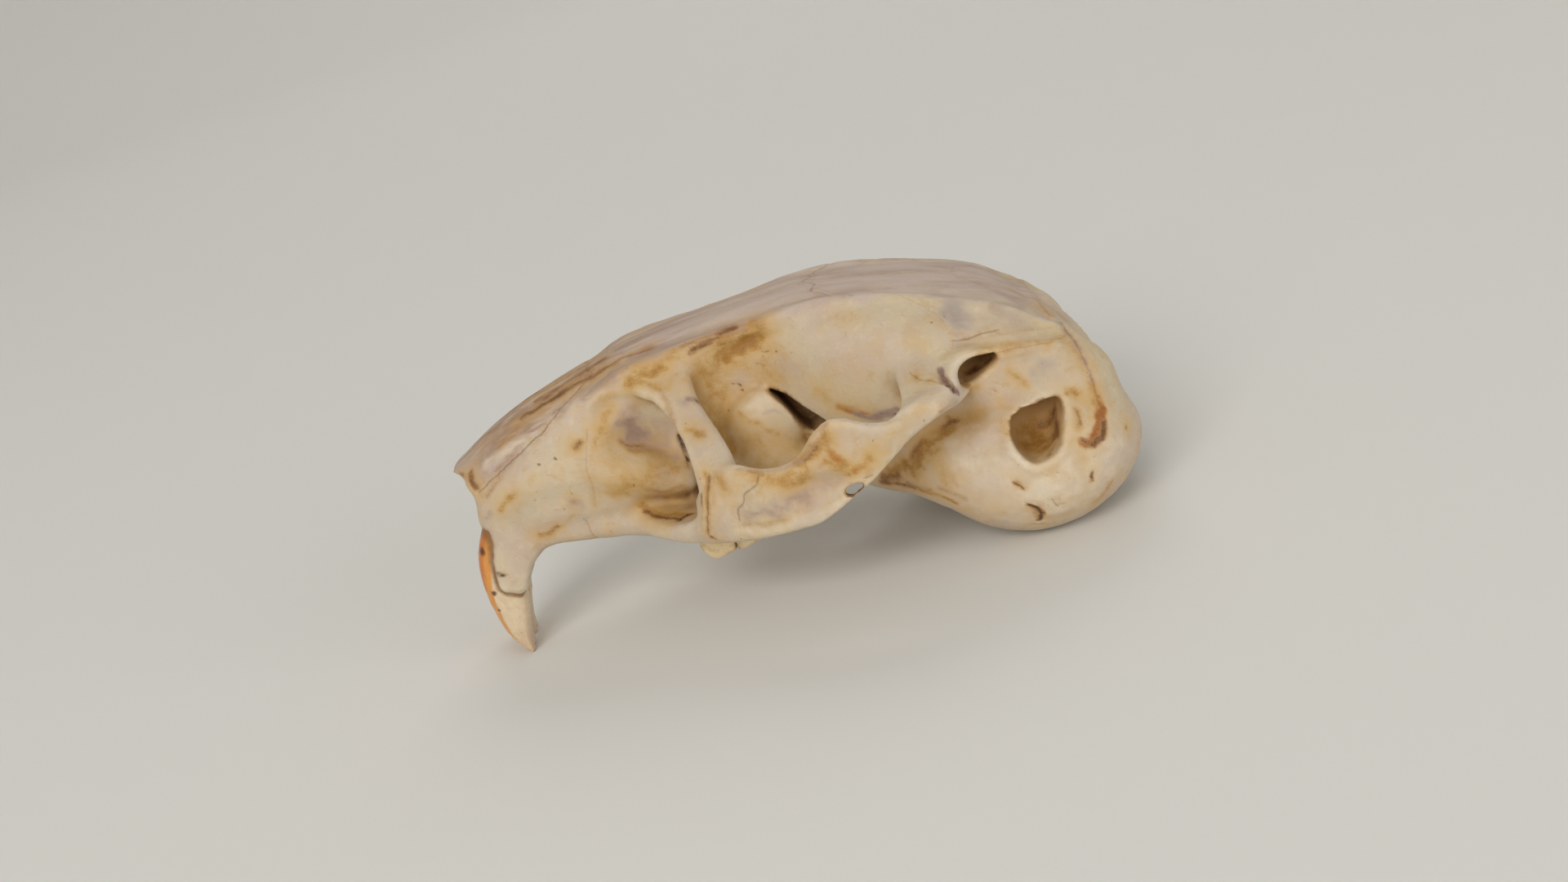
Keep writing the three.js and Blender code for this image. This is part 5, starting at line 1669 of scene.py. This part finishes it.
BONE_PAINT = paint.finish(colour, shine, height, 0.08, Subsurface_Weight=0.1, Subsurface_Scale=0.0007,
                          Subsurface_Radius=(1.0, 0.6, 0.35), IOR=1.5)
print("bone:", len(paint.tree.nodes), "nodes")

# %% Tones of the incisors
ENAMEL_TIP = tone(224, 184, 130)
ENAMEL = tone(218, 152, 76)
DEEP_ENAMEL = tone(196, 108, 44)
ENAMEL_STREAK = tone(190, 120, 62)
DENTINE = tone(222, 202, 170)
DENTINE_CLOUD = tone(204, 172, 140)
DENTINE_STREAK = tone(192, 164, 146)
DENTINE_TIP = tone(198, 160, 126)
# Dirt and painted shade where the incisor leaves its socket
DIRT_AND_SHADE_AT_THE_SOCKET = tone(140, 98, 56)
DARK_SPOT = tone(84, 40, 26)
INCISOR_SPECK = tone(140, 96, 62)
print(11, "tones")

# %% Incisor: orange enamel in front, cream dentine behind
paint = Paint("incisor")
behind, height_on = paint.attribute("behind"), paint.attribute("height")
quick = paint.noise(0.5, 3.0, 0.6)
streak = paint.noise(0.7, 3.0, 0.6, place=paint.stretched(1.0, 1.0, 0.15))
wrap = 0.22 + 0.62 * paint.step(height_on, 1.0, 8.0)
edge = (behind + 0.15 * (quick - 0.5)) / wrap
face = paint.step(paint.attribute("front"), 0.35, 0.6)
enamel = face + (1 - face) * paint.step(edge, 1.1, 0.8)
orange = paint.mix(paint.step(height_on, 0.3, 4.5), ENAMEL_TIP, ENAMEL)
orange = paint.mix(paint.step(edge, 0.55, 0.1) * paint.step(height_on, 1.0, 6.0) * 0.7, orange, DEEP_ENAMEL)
orange = paint.mix(paint.step(streak, 0.45, 0.7) * 0.4, orange, ENAMEL_STREAK)
dentine = paint.mix(paint.step(quick, 0.4, 0.65) * 0.4, DENTINE, DENTINE_CLOUD)
dentine = paint.mix(paint.step(streak, 0.55, 0.75) * 0.5, dentine, DENTINE_STREAK)
dentine = paint.mix(paint.step(height_on, 2.6, 0.6) * 0.4, dentine, DENTINE_TIP)
colour = paint.mix(enamel, dentine, orange)
gum = paint.attribute("gum")
# A dark band at the socket's edge: dirt and painted shade
colour = paint.mix((gum * (0.5 + 0.8 * quick)).least(0.9), colour, DIRT_AND_SHADE_AT_THE_SOCKET)
colour = paint.mix(paint.attribute("spot") * 0.9, colour, DARK_SPOT)
speck = paint.step(paint.noise(0.5, 2.0, 0.5), 0.70, 0.76)
colour = paint.mix(speck * 0.4, colour, INCISOR_SPECK)
INCISOR_PAINT = paint.finish(colour, 0.2 + 0.2 * quick, 0.5 * streak + 0.5 * quick, 0.03,
                             Subsurface_Weight=0.08, Subsurface_Scale=0.0005,
                             Subsurface_Radius=(1.0, 0.6, 0.3))
print("incisor:", len(paint.tree.nodes), "nodes")

# %% Tones of the cheek teeth
TOOTH_CREAM = tone(226, 204, 162)
TOOTH_OCHRE = tone(196, 156, 104)
WORN_HOLLOW = tone(150, 104, 62)
print(3, "tones")

# %% Cheek teeth
paint = Paint("cheek tooth")
quick = paint.noise(0.45, 3.0, 0.6)
worn = paint.attribute("worn")
colour = paint.mix(paint.step(quick, 0.4, 0.75) * 0.6, TOOTH_CREAM, TOOTH_OCHRE)
colour = paint.mix(worn * (0.6 + 0.5 * quick), colour, WORN_HOLLOW)
TOOTH_PAINT = paint.finish(colour, 0.25 + 0.25 * quick, quick, 0.03)
print("cheek tooth:", len(paint.tree.nodes), "nodes")

# %% Paint the pieces and make the eight cheek teeth
cranium.data.materials.append(BONE_PAINT)
for made in (incisor_left, incisor_right):
    made.data.materials.append(INCISOR_PAINT)
for side_name, side in (("left", 1), ("right", -1)):
    for number in range(4):
        node = f"cheek_tooth_{side_name}_{number + 1}"
        made = cheek_tooth(node + "_enamel", number, side)
        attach(made, "root")
        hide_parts(node)
        print(made.name, len(made.data.polygons), "faces")

# %% [markdown]
# ## The stage
# The skull stands on a pale table that curves up all round, so no edge or horizon shows. A sky of one colour
# could light it, but large soft lamps give the forms a bright side and a shadow side, with a weaker lamp to
# fill the shadows.

# %% A pale sweep under and behind the skull
FLOOR_RADIUS = 0.55
CURVE_RADIUS = 0.5
SWEEP_TOP = 1.4
SWEEP_STEPS = 24
SWEEP_SIDES = 96

profile = [(FLOOR_RADIUS * share, 0.0) for share in (0.0, 0.25, 0.5, 0.75)]
for step in range(SWEEP_STEPS + 1):
    angle = 0.5 * math.pi * step / SWEEP_STEPS
    profile.append((FLOOR_RADIUS + CURVE_RADIUS * math.sin(angle), CURVE_RADIUS * (1 - math.cos(angle))))
profile.append((FLOOR_RADIUS + CURVE_RADIUS, SWEEP_TOP))
sweep_points = [(0.0, 0.0, 0.0)]
for radius, height in profile[1:]:
    for side in range(SWEEP_SIDES):
        turn = 2 * math.pi * side / SWEEP_SIDES
        sweep_points.append((radius * math.cos(turn), radius * math.sin(turn), height))
sweep_faces = [(0, 1 + side, 1 + (side + 1) % SWEEP_SIDES) for side in range(SWEEP_SIDES)]
for ring in range(len(profile) - 2):
    first = 1 + ring * SWEEP_SIDES
    outer = first + SWEEP_SIDES
    for side in range(SWEEP_SIDES):
        after = (side + 1) % SWEEP_SIDES
        sweep_faces.append((first + side, outer + side, outer + after, first + after))
sweep_mesh = bpy.data.meshes.new("sweep")
sweep_mesh.from_pydata(sweep_points, [], sweep_faces)
sweep_mesh.shade_smooth()
sweep = placed("sweep", sweep_mesh)
PALE_TABLE = tone(233, 232, 228)
sweep_paint = Paint("pale table")
sweep_mesh.materials.append(sweep_paint.finish((*PALE_TABLE, 1), 0.9, 0.0, 0.1))
sweep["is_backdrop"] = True
print("sweep:", len(sweep_faces), "faces")


# %% Lamps
def lamp(name, place, size, power, colour, aim=(0, 0, 0.008)):
    """A square soft lamp at a place in metres, turned to the skull."""
    light = bpy.data.lights.new(name, "AREA")
    light.shape = "SQUARE"
    light.size = size
    light.energy = power
    light.color = colour
    made = placed(name, light)
    made.location = place
    made.rotation_euler = (Vector(aim) - Vector(place)).to_track_quat("-Z", "Y").to_euler()
    return made


lamp("key", (-0.26, -0.54, 0.36), 0.35, 2.15, (1.0, 0.98, 0.94))
lamp("fill", (0.45, -0.5, 0.10), 0.5, 1.6, (0.97, 0.98, 1.0))
lamp("back", (0.1, 0.55, 0.55), 0.5, 1.1, (1.0, 0.99, 0.97))

# %% The light from all round
world = bpy.data.worlds.new("soft surround")
world.use_nodes = True
world.node_tree.nodes["Background"].inputs["Color"].default_value = (1.0, 0.98, 0.95, 1)
world.node_tree.nodes["Background"].inputs["Strength"].default_value = 0.36
bpy.context.scene.world = world
bpy.context.scene.view_settings.view_transform = "Standard"
print("surround:", world.name)

# %% [markdown]
# ## The camera
# It goes to the place worked out above, with a lens that sees the whole skull.

# %% Set up the camera
SENSOR_WIDTH = 36
WIDTH_TO_HEIGHT = 1920 / 1080

camera_data = bpy.data.cameras.new("camera")
camera_data.sensor_width = SENSOR_WIDTH
camera_data.lens = SENSOR_WIDTH / 2 / (math.tan(HALF_VIEW) * WIDTH_TO_HEIGHT)
camera_data.clip_start = 0.01
camera_data.clip_end = 10
camera = placed("camera", camera_data)
camera.matrix_world = Matrix((view_right, view_up, view_back)).transposed().to_4x4()
camera.location = to_frame(eye)
bpy.context.scene.camera = camera
print("lens:", round(camera_data.lens, 1), "mm")

# %% Print the sizes and finish
visual_low, visual_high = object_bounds()
sizes = {"cad": [list(cad_low), list(cad_high)], "visual": [list(visual_low), list(visual_high)]}
for name, (low, high) in sizes.items():
    print(name, [round((b - a) * 1000, 2) for a, b in zip(low, high)], "mm")
